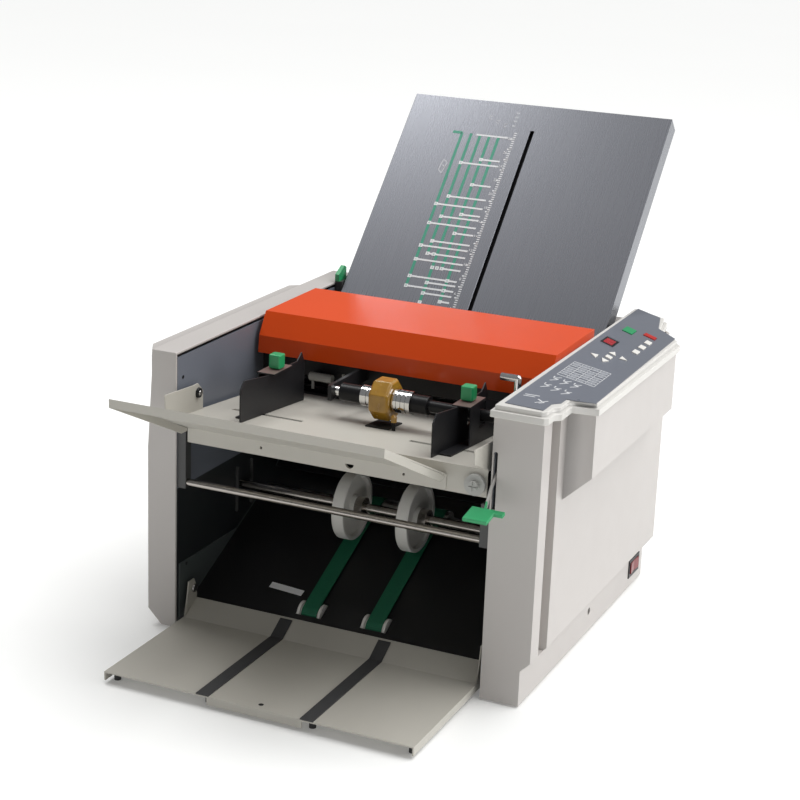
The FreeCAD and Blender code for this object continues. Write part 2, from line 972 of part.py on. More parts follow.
def electrics():
    """Motor and power supply on the right frame, and the control board under the lid."""
    supply = box(inner_half + frame_thick, supply_side, supply_front, supply_back, supply_low,
                 supply_high)
    board = box(board_left, board_right, board_front, board_back, board_low, board_low + board_thick)
    posts = []
    for x in (board_left + wall, board_right - wall):
        for y in (board_front + wall, board_back - wall):
            posts.append(rod((x, y, board_low + board_thick), (x, y, lid_top - lid_skin), board_thick))
    return group([supply, joined([board] + posts), motor_body()])


def front_tie_rod():
    reach = inner_half - bracket_thick
    return rod_x(-reach, reach, rod_y, rod_z, rod_radius)


def wall_brackets():
    """Rod brackets on both frames, the lock bracket and two guide strips on the left frame."""
    inner = inner_half - bracket_thick
    left = box(-inner_half, -inner, bracket_front, bracket_back, bracket_low, bracket_high)
    right = box(inner, inner_half, bracket_front, bracket_back, bracket_low, bracket_high_right)
    shapes = [left, right]
    lock = box(-inner_half, -lock_x + lock_width + bezel_proud, lock_bracket_front, lock_bracket_back,
               cabinet_top, lock_bracket_top)
    hole = rod((-lock_x, lock_y, lock_bracket_top - overrun),
               (-lock_x, lock_y, lock_bracket_top + overrun),
               lock_pin_radius + running_gap)
    shapes.append(lock.cut(hole))
    for y in (strip_front_y, strip_back_y):
        shapes.append(box(-inner_half, -inner_half + strip_thick, y, y + strip_thick, strip_low,
                          strip_high))
    return group(shapes)


def slope_point(along, up):
    """(y, z) at a distance along the belts from the front pulleys and a height over them."""
    c, s = turn(belt_angle)
    return (pulley_y + along * c - up * s, pulley_z + along * s + up * c)


def bed_plate():
    front = slope_point(-bed_front_reach, bed_rise)
    back = slope_point(belt_span - bed_back_reach, bed_rise)
    plate = prism_x(strip_along([(front[0], bed_foot), front, back], sheet), -inner_half, inner_half)
    for x in (-wheel_x, wheel_x):
        notch = rod_x(x - bed_notch / 2, x + bed_notch / 2, pulley_y, pulley_z, flange_radius + bed_lip)
        plate = plate.cut(notch)
    c, s = turn(belt_angle)
    top = slope_point((bed_side_high - pulley_z - bed_rise * c) / s, bed_rise)
    outline = [(bed_side_front, bed_foot), (front[0], bed_foot), front, top,
               (bed_side_front, bed_side_high)]
    side = prism_x(outline, inner_half - sheet, inner_half)
    side = side.cut(rod_x(inner_half - overrun, inner_half + overrun, tray_hinge_y, tray_hinge_z,
                          hinge_pin_radius + running_gap))
    return joined([plate, side, mirrored(side)])


def sheet_guides():
    """Bed plate, inner panel, exit guide and lower paper guide between the frames."""
    panel = box(-inner_half, inner_half, panel_y, panel_y + sheet, panel_low, panel_high)
    drive_y = drive_roller_place()[0]
    start = drive_y + pulley_radius + exit_gap
    exit_guide = prism_x(strip_along([(start, exit_low), (exit_back, exit_high)], sheet), -inner_half,
                         inner_half)
    path = [(lower_guide_front, lower_guide_front_z), (lower_guide_back, lower_guide_back_z)]
    lower = prism_x(strip_along(path, sheet), -inner_half, inner_half)
    return group([bed_plate(), panel, exit_guide, lower])


def stacker_belts():
    drive_y, drive_z = drive_roller_place()
    belts = []
    for x in (-wheel_x, wheel_x):
        belts.append(belt(pulley_y, pulley_z, pulley_radius, drive_y, drive_z, pulley_radius,
                          x - belt_width / 2, x + belt_width / 2, belt_thick))
    return group(belts)


def front_pulleys():
    reach = inner_half + frame_thick
    shapes = [rod_x(-reach, reach, pulley_y, pulley_z, pulley_shaft_radius)]
    for x in (-wheel_x, wheel_x):
        half = pulley_length / 2
        pulley = joined([
            rod_x(x - half, x + half, pulley_y, pulley_z, pulley_radius),
            rod_x(x - half, x - half + flange_thick, pulley_y, pulley_z, flange_radius),
            rod_x(x + half - flange_thick, x + half, pulley_y, pulley_z, flange_radius),
        ])
        shapes.append(pulley.cut(rod_x(x - half - overrun, x + half + overrun, pulley_y, pulley_z,
                                       pulley_shaft_radius)))
    return group(shapes)


def belt_drive_roller():
    """Rear roller of the stacker belts on its shaft, with the driven pulley at the right end."""
    y, z = drive_roller_place()
    half = wheel_x + pulley_length / 2
    reach = inner_half + frame_thick
    roller = rod_x(-half, half, y, z, pulley_radius)
    shaft = rod_x(-reach, near_belt_outer, y, z, pulley_shaft_radius)
    pulley = rod_x(near_belt_inner, near_belt_outer, y, z, small_pulley)
    return joined([roller, shaft, pulley])


def wheel_shaft():
    reach = inner_half + frame_thick
    shaft = rod_x(-reach, reach, wheel_y, wheel_z, wheel_shaft_radius)
    shapes = [shaft]
    for x in (-wheel_x, wheel_x):
        x0 = x + wheel_thick / 2
        shapes.append(sleeve_x(x0, x0 + collar_length, wheel_y, wheel_z, collar_radius,
                               wheel_shaft_radius))
    return group(shapes)


def delivery_wheels():
    wheels = []
    for x in (-wheel_x, wheel_x):
        x0 = x - wheel_thick / 2
        x1 = x + wheel_thick / 2
        rim = sleeve_x(x0, x1, wheel_y, wheel_z, wheel_radius, wheel_radius - wheel_rim)
        web = rod_x(x - wheel_web / 2, x + wheel_web / 2, wheel_y, wheel_z, wheel_radius - wheel_rim)
        hub = rod_x(x0, x1, wheel_y, wheel_z, wheel_hub_radius)
        wheel = joined([rim, web, hub])
        wheels.append(wheel.cut(rod_x(x0 - overrun, x1 + overrun, wheel_y, wheel_z, wheel_shaft_radius)))
    return group(wheels)


def tray_rear():
    """(y, z) of the rear edge of the tray's upper face."""
    return (tray_hinge_y + tray_ear / 2, tray_hinge_z - tray_ear - sheet)


def stacker_tray():
    path = [tray_rear(), (tray_bend_y, tray_z), (-tray_front, tray_z)]
    plate = prism_x(strip_along(path, sheet), -tray_half, tray_half)
    lip = box(-tray_lip_half, tray_lip_half, -tray_front, -tray_front + sheet, tray_z - tray_lip_drop,
              tray_z)
    shapes = [plate, lip]
    ear_outline = [
        (tray_bend_y, tray_z),
        (-tray_front, tray_z),
        (-tray_front, tray_z - tray_flange),
        (tray_bend_y + tray_ear, tray_z - tray_flange + sheet),
        (tray_hinge_y + tray_ear_back, tray_hinge_z - tray_ear),
        (tray_hinge_y + tray_ear_back, tray_hinge_z),
        (tray_hinge_y, tray_hinge_z + tray_ear),
        (tray_hinge_y - tray_ear, tray_hinge_z + tray_ear),
        (tray_hinge_y - tray_ear - sheet, tray_hinge_z),
    ]
    for side in (-1, 1):
        inner = side * (tray_half - sheet)
        outer = side * tray_half
        shapes.append(prism_x(ear_outline, min(inner, outer), max(inner, outer)))
        pin_ends = sorted((inner, side * (inner_half + frame_thick)))
        shapes.append(rod_x(*pin_ends, tray_hinge_y, tray_hinge_z, hinge_pin_radius))
    return joined(shapes)


def tray_strips():
    """Rubber strips on the tray and the small feet under its front edge."""
    shapes = []
    rear_y, rear_z = tray_rear()
    climb = (rear_z - tray_z) / (rear_y - tray_bend_y)
    path = [
        (-tray_front, tray_z),
        (tray_bend_y, tray_z),
        (tray_strip_back, tray_z + climb * (tray_strip_back - tray_bend_y)),
    ]
    outline = strip_along(path, tray_strip_thick)
    for x in (-tray_strip_x, tray_strip_x):
        shapes.append(prism_x(outline, x - tray_strip_width / 2, x + tray_strip_width / 2))
    for x in (-tray_half + tray_foot, tray_half - tray_foot, -tray_strip_x, tray_strip_x):
        y = -tray_front + tray_foot * 2
        shapes.append(rod((x, y, curved_gap), (x, y, tray_z - sheet), tray_foot / 2))
    return group(shapes)


def table_height(y):
    return table_level - table_fall_share * y


def flange_holes():
    """Two round holes and one half round hole through the front flange and the extension's foot."""
    middle = (extension_foot_z + extension_fold_z) / 2
    hole_shares = (0.2955, 0.64, 0.844)
    holes = []
    for index, share in enumerate(hole_shares):
        x = -extension_left + share * (extension_left + extension_right)
        radius = extension_hole_large if index == 1 else extension_hole_radius
        hole = rod((x, -overrun, middle), (x, table_front + overrun, middle), radius)
        if index == 1:
            hole = hole.cut(box(x - radius, x + radius, -overrun, table_front + overrun, middle,
                                middle + radius))
        holes.append(hole)
    return holes


def feed_table():
    path = [
        (table_front, table_flange_low),
        (table_front, table_height(table_front)),
        (table_back, table_height(table_back)),
    ]
    plate = prism_x(strip_along(path, -sheet), -table_half - sheet, table_half + sheet)
    for side in (-1, 1):
        ends = sorted((side * (guide_x - guide_travel_in - overrun),
                       side * (guide_x + guide_travel_out + overrun)))
        plate = plate.cut(box(*ends, guide_tongue_y - wall, guide_tongue_y + wall, table_flange_low,
                              table_level))
    end = table_half + sheet + overrun
    corner = (table_front - overrun, table_front + overrun, table_flange_low - overrun,
              table_height(table_front) - sheet * 2)
    plate = plate.cut(box(-end, -table_flange_left, *corner)).cut(box(table_flange_right, end, *corner))
    for hole in flange_holes():
        plate = plate.cut(hole)
    shapes = [plate]
    low = table_height(0)
    ear = [
        (table_front, low),
        (-ear_front + sheet, (low + ear_high) / 2),
        (-ear_front, ear_high - sheet),
        (-ear_front + sheet, ear_high),
        (table_pivot_y - ear_round, table_pivot_z + ear_round),
        (table_pivot_y, table_pivot_z + ear_round),
        (table_pivot_y + ear_round, table_pivot_z),
        (table_pivot_y + ear_round, table_height(table_pivot_y + ear_round) - sheet),
        (table_front, low - sheet),
    ]
    for side in (-1, 1):
        ends = sorted((side * table_half, side * (table_half + sheet)))
        shapes.append(prism_x(ear, *ends))
        reach = inner_half + frame_thick
        if side > 0:
            reach = lever_stem_x - lever_stem_thick / 2 + lever_hub_length
        pin_ends = sorted((side * table_half, side * reach))
        shapes.append(rod_x(*pin_ends, table_pivot_y, table_pivot_z, hinge_pin_radius))
    return joined(shapes)


def table_extension():
    path = [
        (table_front, extension_foot_z),
        (table_front, extension_fold_z),
        (-extension_front, extension_fold_z + extension_rise),
        (-extension_front, extension_fold_z + extension_rise - extension_lip),
    ]
    plate = prism_x(strip_along(path, sheet), -extension_left, extension_right)
    side = [
        (0, extension_fold_z),
        (-extension_front, extension_fold_z + extension_rise - sheet),
        (-extension_front, extension_fold_z + extension_rise - extension_lip),
        (-tray_ear, extension_fold_z - sheet * 2),
        (0, extension_fold_z - sheet * 2),
    ]
    shapes = [plate]
    for x in (-extension_left, extension_right - sheet):
        shapes.append(prism_x(side, x, x + sheet))
    solid = joined(shapes)
    for hole in flange_holes():
        solid = solid.cut(hole)
    return solid


def separator_pad():
    outline = [
        (pad_front, table_height(pad_front)),
        (pad_back, table_height(pad_back)),
        (pad_back, table_height(pad_back) + pad_thick),
        (pad_front, table_height(pad_front) + pad_thick),
    ]
    return prism_x(outline, tyre_x - pad_width / 2, tyre_x + pad_width / 2)


def side_guide(side):
    """Folded paper guide: inner wall, foot and outer wall, with the clamp plate that carries the knob."""
    def foot(y):
        return table_height(y) + curved_gap

    under = knob_low - clamp_thick
    inner = [
        (guide_front, foot(guide_front)),
        (guide_back, foot(guide_back)),
        (guide_back, guide_horn_back_high),
        (guide_horn_tip, guide_high),
        (guide_horn_front, under),
        (clamp_front, under),
        (guide_front + guide_chamfer, guide_high),
        (guide_front, guide_high - guide_chamfer),
    ]
    outer = [
        (guide_wall_front, foot(guide_wall_front)),
        (guide_back, foot(guide_back)),
        (guide_back, guide_wall_back_high),
        (clamp_back, under),
        (guide_wall_front, under),
    ]
    base = [
        (guide_foot_front, foot(guide_foot_front)),
        (guide_back, foot(guide_back)),
        (guide_back, foot(guide_back) + sheet),
        (guide_foot_front, foot(guide_foot_front) + sheet),
    ]
    far = guide_x + guide_foot_width
    tongue = box(guide_x, guide_x + sheet, guide_tongue_y - sheet, guide_tongue_y + sheet,
                 table_height(guide_tongue_y) - wall * 2, guide_tongue_high)
    solid = joined([
        prism_x(inner, guide_x, guide_x + sheet),
        prism_x(base, guide_x, far),
        prism_x(outer, far - sheet, far),
        tongue,
    ])
    if side > 0:
        reach = tube_radius + guide_slot_gap
        solid = solid.cut(box(guide_x - overrun, far + overrun, feed_y - reach, feed_y + reach,
                              feed_z - reach - guide_slot_down, feed_z + reach + guide_slot_up))
    bore = (guide_x + knob_out, knob_y)
    solid = solid.cut(rod((*bore, under - clamp_thick * 2), (*bore, knob_low),
                          knob_stem_radius + curved_gap))
    clamp = box(guide_x - clamp_in, guide_x + clamp_out, clamp_front, clamp_back, under, knob_low)
    clamp = clamp.cut(rod((*bore, under - overrun), (*bore, knob_low + overrun),
                          knob_stem_radius + running_gap))
    both = group([solid, clamp])
    return both if side > 0 else mirrored(both)


def guide_knob(side):
    middle = guide_x + knob_out - knob_size / 2
    low = knob_low + knob_travel
    knob = box(middle, middle + knob_size, knob_y - knob_size / 2, knob_y + knob_size / 2, low, knob_high)
    edges = [edge for edge in knob.Edges if abs(edge.tangentAt(edge.FirstParameter).z) > running_gap]
    knob = knob.makeFillet(bezel_rim, edges)
    place = (guide_x + knob_out, knob_y)
    stem = rod((*place, low), (*place, knob_low - clamp_thick), knob_stem_radius)
    knob = joined([knob, stem])
    return knob if side > 0 else mirrored(knob)


def washer_stack(x0, x1, radius, count):
    """Washers side by side on the feed shaft, with a groove between each two."""
    stack = sleeve_x(x0, x1, feed_y, feed_z, radius, feed_radius)
    pitch = (x1 - x0) / count
    for index in range(1, int(count)):
        x = x0 + pitch * index
        groove = sleeve_x(x - washer_groove / 4, x + washer_groove / 4, feed_y, feed_z,
                          radius + overrun, radius - washer_groove)
        stack = stack.cut(groove)
    return stack


def feed_shaft():
    """Feed shaft with its plain washers and the driven pulley at the right end."""
    shaft = rod_x(-arm_x, near_belt_outer, feed_y, feed_z, feed_radius)
    pulley = sleeve_x(near_belt_inner, near_belt_outer, feed_y, feed_z, feed_pulley, feed_radius)
    tyre_end = tyre_x - tyre_width / 2 - running_gap
    left = washer_stack(-sleeve_left_end + running_gap, tyre_end, washer_left_radius, washer_count / 2)
    right = washer_stack(washer_right, washer_right + washer_right_length, washer_right_radius,
                         washer_count)
    return group([shaft, pulley, left, right])


def feed_tyre():
    """Octagonal tyre, its rims chamfered."""
    half = tyre_width / 2
    outer = tyre_flats / 2 / math.cos(math.pi / tyre_sides)

    def ring(radius):
        points = []
        for index in range(tyre_sides):
            angle = math.pi * (2 * index + 1) / tyre_sides
            points.append((feed_y + radius * math.cos(angle), feed_z + radius * math.sin(angle)))
        return points

    def loop(radius, x):
        points = [Vec(x, y, z) for y, z in ring(radius)]
        return Part.makePolygon(points + points[:1])

    core = prism_x(ring(outer), tyre_x - half + tyre_chamfer, tyre_x + half - tyre_chamfer)
    shapes = [core]
    for side in (-1, 1):
        near = loop(outer, tyre_x + side * (half - tyre_chamfer))
        far = loop(outer - tyre_chamfer, tyre_x + side * half)
        shapes.append(Part.makeLoft([near, far], True, True))
    tyre = joined(shapes)
    return tyre.cut(rod_x(tyre_x - half - overrun, tyre_x + half + overrun, feed_y, feed_z, feed_radius))


def feed_sleeves():
    left = sleeve_x(-sleeve_left, -sleeve_left_end, feed_y, feed_z, sleeve_radius, feed_radius)
    start = washer_right + washer_right_length
    right = joined([
        rod_x(start, hub_right_end, feed_y, feed_z, hub_radius),
        rod_x(start, inner_half - tube_end_gap, feed_y, feed_z, tube_radius),
    ])
    return group([left, right.cut(rod_x(start - overrun, inner_half, feed_y, feed_z, feed_radius))])


def cross_beams():
    """Rear beam, and the plate behind the feed shaft with its hanger arm and idler stub."""
    beam = box(-inner_half, inner_half, beam_front, beam_back, beam_low, beam_high)
    plate = box(-inner_half, inner_half, cross_y, cross_y + frame_thick, cross_low, cross_high)
    arm = box(-arm_x, -arm_x + arm_thick, feed_y - hub_radius, cross_y, arm_low, arm_high)
    arm = arm.cut(rod_x(-arm_x - overrun, -arm_x + overrun * 2, feed_y, feed_z,
                        feed_radius + running_gap))
    stub_y = cross_y - ear_round
    stub_z = (arm_low + cross_low) / 2
    stub = rod_x(-guide_x - hinge_pin_radius, -guide_x + knob_size + overrun, stub_y, stub_z,
                 screw_radius)
    stub_arm = box(-guide_x, -guide_x + arm_thick, stub_y, cross_y, stub_z - screw_radius,
                   stub_z + screw_radius)
    return group([beam, joined([plate, arm, stub, stub_arm])])


def lever_point(start, angle, reach, up):
    """(y, z) at a distance forward and down from a point, at an angle, and a height over that line."""
    c, s = turn(angle)
    return (start[0] - reach * c - up * s, start[1] - reach * s + up * c)


def lever_strip(start, angle, length, half, x0, x1):
    places = ((0, -half), (length, -half), (length, half), (0, half))
    return prism_x([lever_point(start, angle, *place) for place in places], x0, x1)


def table_lever():
    """Flat bent lever on the right table pivot, through the cabinet's slot to a thumb pad."""
    pivot = (table_pivot_y, table_pivot_z)
    knee = lever_point(pivot, lever_angle, lever_reach, 0)
    end = lever_point(knee, lever_drop_angle, lever_drop, 0)
    x0 = lever_stem_x - lever_stem_thick / 2
    x1 = lever_stem_x + lever_stem_thick / 2
    half = lever_stem_width / 2
    pad_half = lever_pad_thick / 2
    lever = joined([
        rod_x(x0, x0 + lever_hub_length, *pivot, lever_hub_radius),
        lever_strip(pivot, lever_angle, lever_reach, half, x0, x1),
        rod_x(x0, x1, *knee, half),
        lever_strip(knee, lever_drop_angle, lever_drop, half, x0, x1),
        lever_strip(end, lever_pad_angle, lever_pad_length, pad_half, lever_pad_inner, lever_pad_outer),
        lever_strip(end, lever_pad_angle, lever_tongue_length, pad_half, lever_pad_outer,
                    lever_tongue_outer),
    ])
    return lever.cut(rod_x(x0 - overrun, x0 + lever_hub_length + overrun, *pivot,
                           hinge_pin_radius + running_gap))


def skew_dial():
    front = table_front
    disc = rod((dial_x, front, dial_z), (dial_x, front - dial_thick, dial_z), dial_radius)
    face = front - dial_thick
    knob = rod((dial_x, face, dial_z), (dial_x, face - dial_knob_thick, dial_z), dial_knob_radius)
    dial = joined([disc, knob])
    face -= dial_knob_thick
    slot = screw_slot / 2
    reach = dial_knob_radius * 2
    for dx, dz in ((reach, slot), (slot, reach)):
        dial = dial.cut(box(dial_x - dx, dial_x + dx, face - overrun, face + screw_slot, dial_z - dz,
                            dial_z + dz))
    return dial


def pressure_lever():
    """Bent rod on the right frame that stands up beside the feed shaft."""
    foot = rod_x(press_x, inner_half, press_y, press_low, press_radius)
    stem = rod((press_x, press_y, press_low), (press_x, press_y, press_high), press_radius)
    bar = rod_x(press_end, press_x, press_y, press_high, press_radius)
    corners = []
    for z in (press_low, press_high):
        corners.append(Part.makeSphere(press_radius, Vec(press_x, press_y, z)))
    return joined([foot, stem, bar] + corners)


def roller_cover():
    path = [
        (cover_back_y, cover_high),
        (cover_front_y, cover_high - bezel_proud / 2),
        (cover_mid_y, cover_mid_z),
        (cover_low_y, cover_low_z),
    ]
    shell = prism_x(strip_along(path, sheet), -cover_half, cover_half)
    pin_reach = cover_pin_radius * 2
    cheek_low = cross_high + sheet
    cheek = path[:] + [
        (cover_low_y + overrun, cover_low_z),
        (cover_front_y - overrun, cheek_low),
        (cover_pin_y - pin_reach * 2, cheek_low),
        (cover_pin_y - pin_reach, cover_pin_z - pin_reach),
        (cover_back_y, cover_pin_z - pin_reach),
    ]
    shapes = [shell]
    for side in (-1, 1):
        ends = sorted((side * cover_half, side * (cover_half - sheet)))
        shapes.append(prism_x(cheek, *ends))
        pin_ends = sorted((side * (cover_half - sheet), side * (inner_half + frame_thick)))
        shapes.append(rod_x(*pin_ends, cover_pin_y, cover_pin_z, cover_pin_radius))
    return joined(shapes)


def gear(y, z, phase):
    """Spur gear between the right frame and the near belts; phase turns it by teeth."""
    pitch = (2 * roller_radius + roller_gap) / 2
    outer = pitch + gear_depth - gear_play * 2
    root = pitch - gear_depth
    step = 2 * math.pi / gear_teeth
    root_share = 0.30
    tip_share = 0.13
    points = []
    for tooth in range(gear_teeth):
        middle = (tooth + phase) * step
        corners = ((-root_share, root), (-tip_share, outer), (tip_share, outer), (root_share, root))
        for share, radius in corners:
            angle = middle + share * step
            points.append((y + radius * math.cos(angle), z + radius * math.sin(angle)))
    wheel = prism_x(points, gear_inner, gear_outer)
    return wheel.cut(rod_x(gear_inner - overrun, gear_outer + overrun, y, z, journal_radius))


def fold_roller(index):
    """Roller on its journals with its gear; the middle and exit rollers carry pulleys."""
    y, z = roller_places()[index]
    reach = gear_outer
    pulleys = []
    if index == 0:
        reach = far_belt_outer
        pulleys = [(near_belt_inner, near_belt_outer, feed_pulley),
                   (far_belt_inner, far_belt_outer, motor_drive_pulley)]
    if index == 3:
        reach = near_belt_outer
        pulleys = [(near_belt_inner, near_belt_outer, small_pulley)]
    body = rod_x(-roller_half, roller_half, y, z, roller_radius)
    journal = rod_x(-inner_half - frame_thick - bush_thick, reach, y, z, journal_radius)
    roller = joined([body, journal])
    shapes = [roller, gear(y, z, 0.5 if index else 0)]
    for x0, x1, radius in pulleys:
        shapes.append(sleeve_x(x0, x1, y, z, radius, journal_radius))
    return group(shapes)


def drive_belts():
    """Motor belt, feed belt and stacker belt inside the right cabinet."""
    places = roller_places()
    drive_y, drive_z = drive_roller_place()
    near = (near_belt_inner + belt_inset, near_belt_outer - belt_inset)
    far = (far_belt_inner + belt_inset, far_belt_outer - belt_inset)
    return group([
        belt(*places[0], motor_drive_pulley, motor_y, motor_z, small_pulley, *far, drive_belt_thick),
        belt(*places[0], feed_pulley, feed_y, feed_z, feed_pulley, *near, drive_belt_thick),
        belt(*places[3], small_pulley, drive_y, drive_z, small_pulley, *near, drive_belt_thick),
    ])


def motor_body():
    inner = inner_half - motor_length
    body = rod_x(inner, inner_half, motor_y, motor_z, motor_radius)
    return body.cut(rod_x(inner + wall, inner_half + overrun, motor_y, motor_z,
                          motor_shaft_radius + running_gap))


def motor_pulley():
    shaft = rod_x(inner_half - motor_length / 2, far_belt_outer, motor_y, motor_z, motor_shaft_radius)
    pulley = rod_x(far_belt_inner, far_belt_outer, motor_y, motor_z, small_pulley)
    return joined([shaft, pulley])


def shaft_bushes():
    """Plain bearing rings on the outer faces of both frames."""
    inner = inner_half + frame_thick
    bushes = []
    drive_y, drive_z = drive_roller_place()

    def ring(y, z, radius):
        return sleeve_x(inner, inner + bush_thick, y, z, radius + bush_rim, radius + running_gap)

    def cap(y, z, radius):
        return rod_x(inner, inner + bush_thick, y, z, radius + bush_rim)

    for y, z in roller_places():
        bushes += [ring(y, z, journal_radius), mirrored(ring(y, z, journal_radius))]
    for place in ((wheel_y, wheel_z, wheel_shaft_radius), (pulley_y, pulley_z, pulley_shaft_radius)):
        bushes += [cap(*place), mirrored(cap(*place))]
    bushes.append(ring(feed_y, feed_z, feed_radius))
    bushes.append(ring(drive_y, drive_z, pulley_shaft_radius))
    bushes.append(mirrored(cap(drive_y, drive_z, pulley_shaft_radius)))
    return group(bushes)


def plate_point(down, deep):
    """(y, z) on the upper fold plate at a distance down from its top edge and a depth behind its face."""
    c, s = turn(plate_angle)
    return (plate_top_y - down * c + deep * s, plate_top_z - down * s - deep * c)


def plate_slab(down0, down1, deep0, deep1, x0, x1):
    corners = [plate_point(down0, deep0), plate_point(down1, deep0), plate_point(down1, deep1),
               plate_point(down0, deep1)]
    return prism_x(corners, x0, x1)


def fold_plate_upper():
    """Upper fold plate: two sheets with the pocket between, closed by side flanges."""
    back = plate_sheet + plate_pocket
    shapes = [
        plate_slab(0, plate_length, 0, plate_sheet, -plate_half, plate_half),
        plate_slab(0, plate_length, back, back + plate_sheet, -plate_half, plate_half),
    ]
    for side in (-1, 1):
        ends = sorted((side * plate_half, side * (plate_half - plate_sheet)))
        shapes.append(plate_slab(0, plate_length, 0, back + plate_sheet, *ends))
        shapes.append(plate_slab(0, plate_flange_end, 0, plate_flange, *ends))
    plate = joined(shapes)
    half = plate_slot_width / 2
    start = stop_rest - stop_travel - overrun
    end = stop_rest + stop_bar_depth
    slot = plate_slab(start, end, -overrun, plate_sheet + plate_pocket / 2, -half, half)
    return plate.cut(slot)


def fold_stop_upper():
    """Stop bar in the upper plate's pocket with its pointer in the slot."""
    near = plate_sheet + stop_bar_play
    far = plate_sheet + plate_pocket - stop_bar_play
    bar = plate_slab(stop_rest, stop_rest + stop_bar_depth, near, far, -stop_half, stop_half)
    pointer = plate_slab(stop_rest, stop_rest + stop_bar_depth / 2, -pointer_proud, near, -pointer_half,
                         pointer_half)
    return joined([bar, pointer])


def low_point(along, deep):
    """(y, z) on the lower fold plate at a distance from its front edge and a depth under its face."""
    c, s = turn(low_plate_angle)
    return (low_plate_y + along * c - deep * s, low_plate_z - along * s - deep * c)


def low_slab(along0, along1, deep0, deep1, x0, x1):
    corners = [low_point(along0, deep0), low_point(along1, deep0), low_point(along1, deep1),
               low_point(along0, deep1)]
    return prism_x(corners, x0, x1)


def fold_plate_lower():
    back = plate_sheet + plate_pocket
    shapes = [
        low_slab(0, low_plate_length, 0, plate_sheet, -low_plate_half, low_plate_half),
        low_slab(0, low_plate_length, back, back + plate_sheet, -low_plate_half, low_plate_half),
    ]
    for side in (-1, 1):
        ends = sorted((side * low_plate_half, side * (low_plate_half - plate_sheet)))
        shapes.append(low_slab(0, low_plate_length, 0, low_plate_flange, *ends))
    plate = joined(shapes)
    half = plate_slot_width / 2
    end = low_stop_rest + stop_bar_depth + low_stop_travel + overrun
    return plate.cut(low_slab(low_stop_rest - overrun, end, -overrun, plate_sheet + plate_pocket / 2,
                              -half, half))


def fold_stop_lower():
    near = plate_sheet + stop_bar_play
    far = plate_sheet + plate_pocket - stop_bar_play
    bar = low_slab(low_stop_rest, low_stop_rest + stop_bar_depth, near, far, -stop_half, stop_half)
    pointer = low_slab(low_stop_rest, low_stop_rest + stop_bar_depth / 2, -pointer_proud, near,
                       -pointer_half, pointer_half)
    return joined([bar, pointer])


def plate_lock_lever():
    """Thumb lever on an upright pin beside the upper fold plate."""
    half = lock_width / 2
    outline = [
        (lock_y - lock_length / 2, lock_bracket_top),
        (lock_y + lock_length / 2, lock_bracket_top),
        (lock_y + lock_length / 2, lock_high - half),
        (lock_y + lock_length / 4, lock_high),
        (lock_y - lock_length / 2, (lock_bracket_top + lock_high) / 2),
    ]
    blade = prism_x(outline, -lock_x - half, -lock_x + half)
    pin = rod((-lock_x, lock_y, lock_bracket_top - overrun + running_gap),
              (-lock_x, lock_y, lock_bracket_top), lock_pin_radius)
    return joined([blade, pin])


def frame_screws():
    """Bracket and beam screws on the frames, and the pins that carry both fold plates."""
    shapes = []

    def screw(x, y, z, thick):
        head = rod_x(x, x + thick, y, z, screw_radius)
        ends = (x + thick - screw_slot, x + thick + overrun)
        slot = screw_slot / 2
        reach = screw_radius * 2 / 3
        head = head.cut(box(*ends, y - reach, y + reach, z - slot, z + slot))
        return head.cut(box(*ends, y - slot, y + slot, z - reach, z + reach))

    outer = inner_half + frame_thick
    beam_y = (beam_front + beam_back) / 2
    beam_z = (beam_low + beam_high) / 2
    places = [(beam_y, beam_z), (rod_y, bracket_high_right - screw_radius * 2),
              (rod_y, bracket_low + screw_radius * 2)]
    places += [(cross_y, (cross_low + cross_high) / 2), (panel_y, (panel_low + panel_high) / 2)]
    for y, z in places:
        head = screw(outer, y, z, screw_thick)
        shapes += [head, mirrored(head)]
    plate_depth = plate_flange / 2
    pins = [plate_point(plate_pin_near, plate_depth), plate_point(plate_pin_far, plate_depth)]
    for y, z in pins:
        pin = rod_x(plate_half, inner_half, y, z, plate_pin_radius)
        shapes += [pin, mirrored(pin)]
    for along in (low_pin_near, low_pin_far):
        pin = rod_x(low_plate_half, inner_half, *low_point(along, low_plate_flange / 2), plate_pin_radius)
        shapes += [pin, mirrored(pin)]
    return group(shapes)


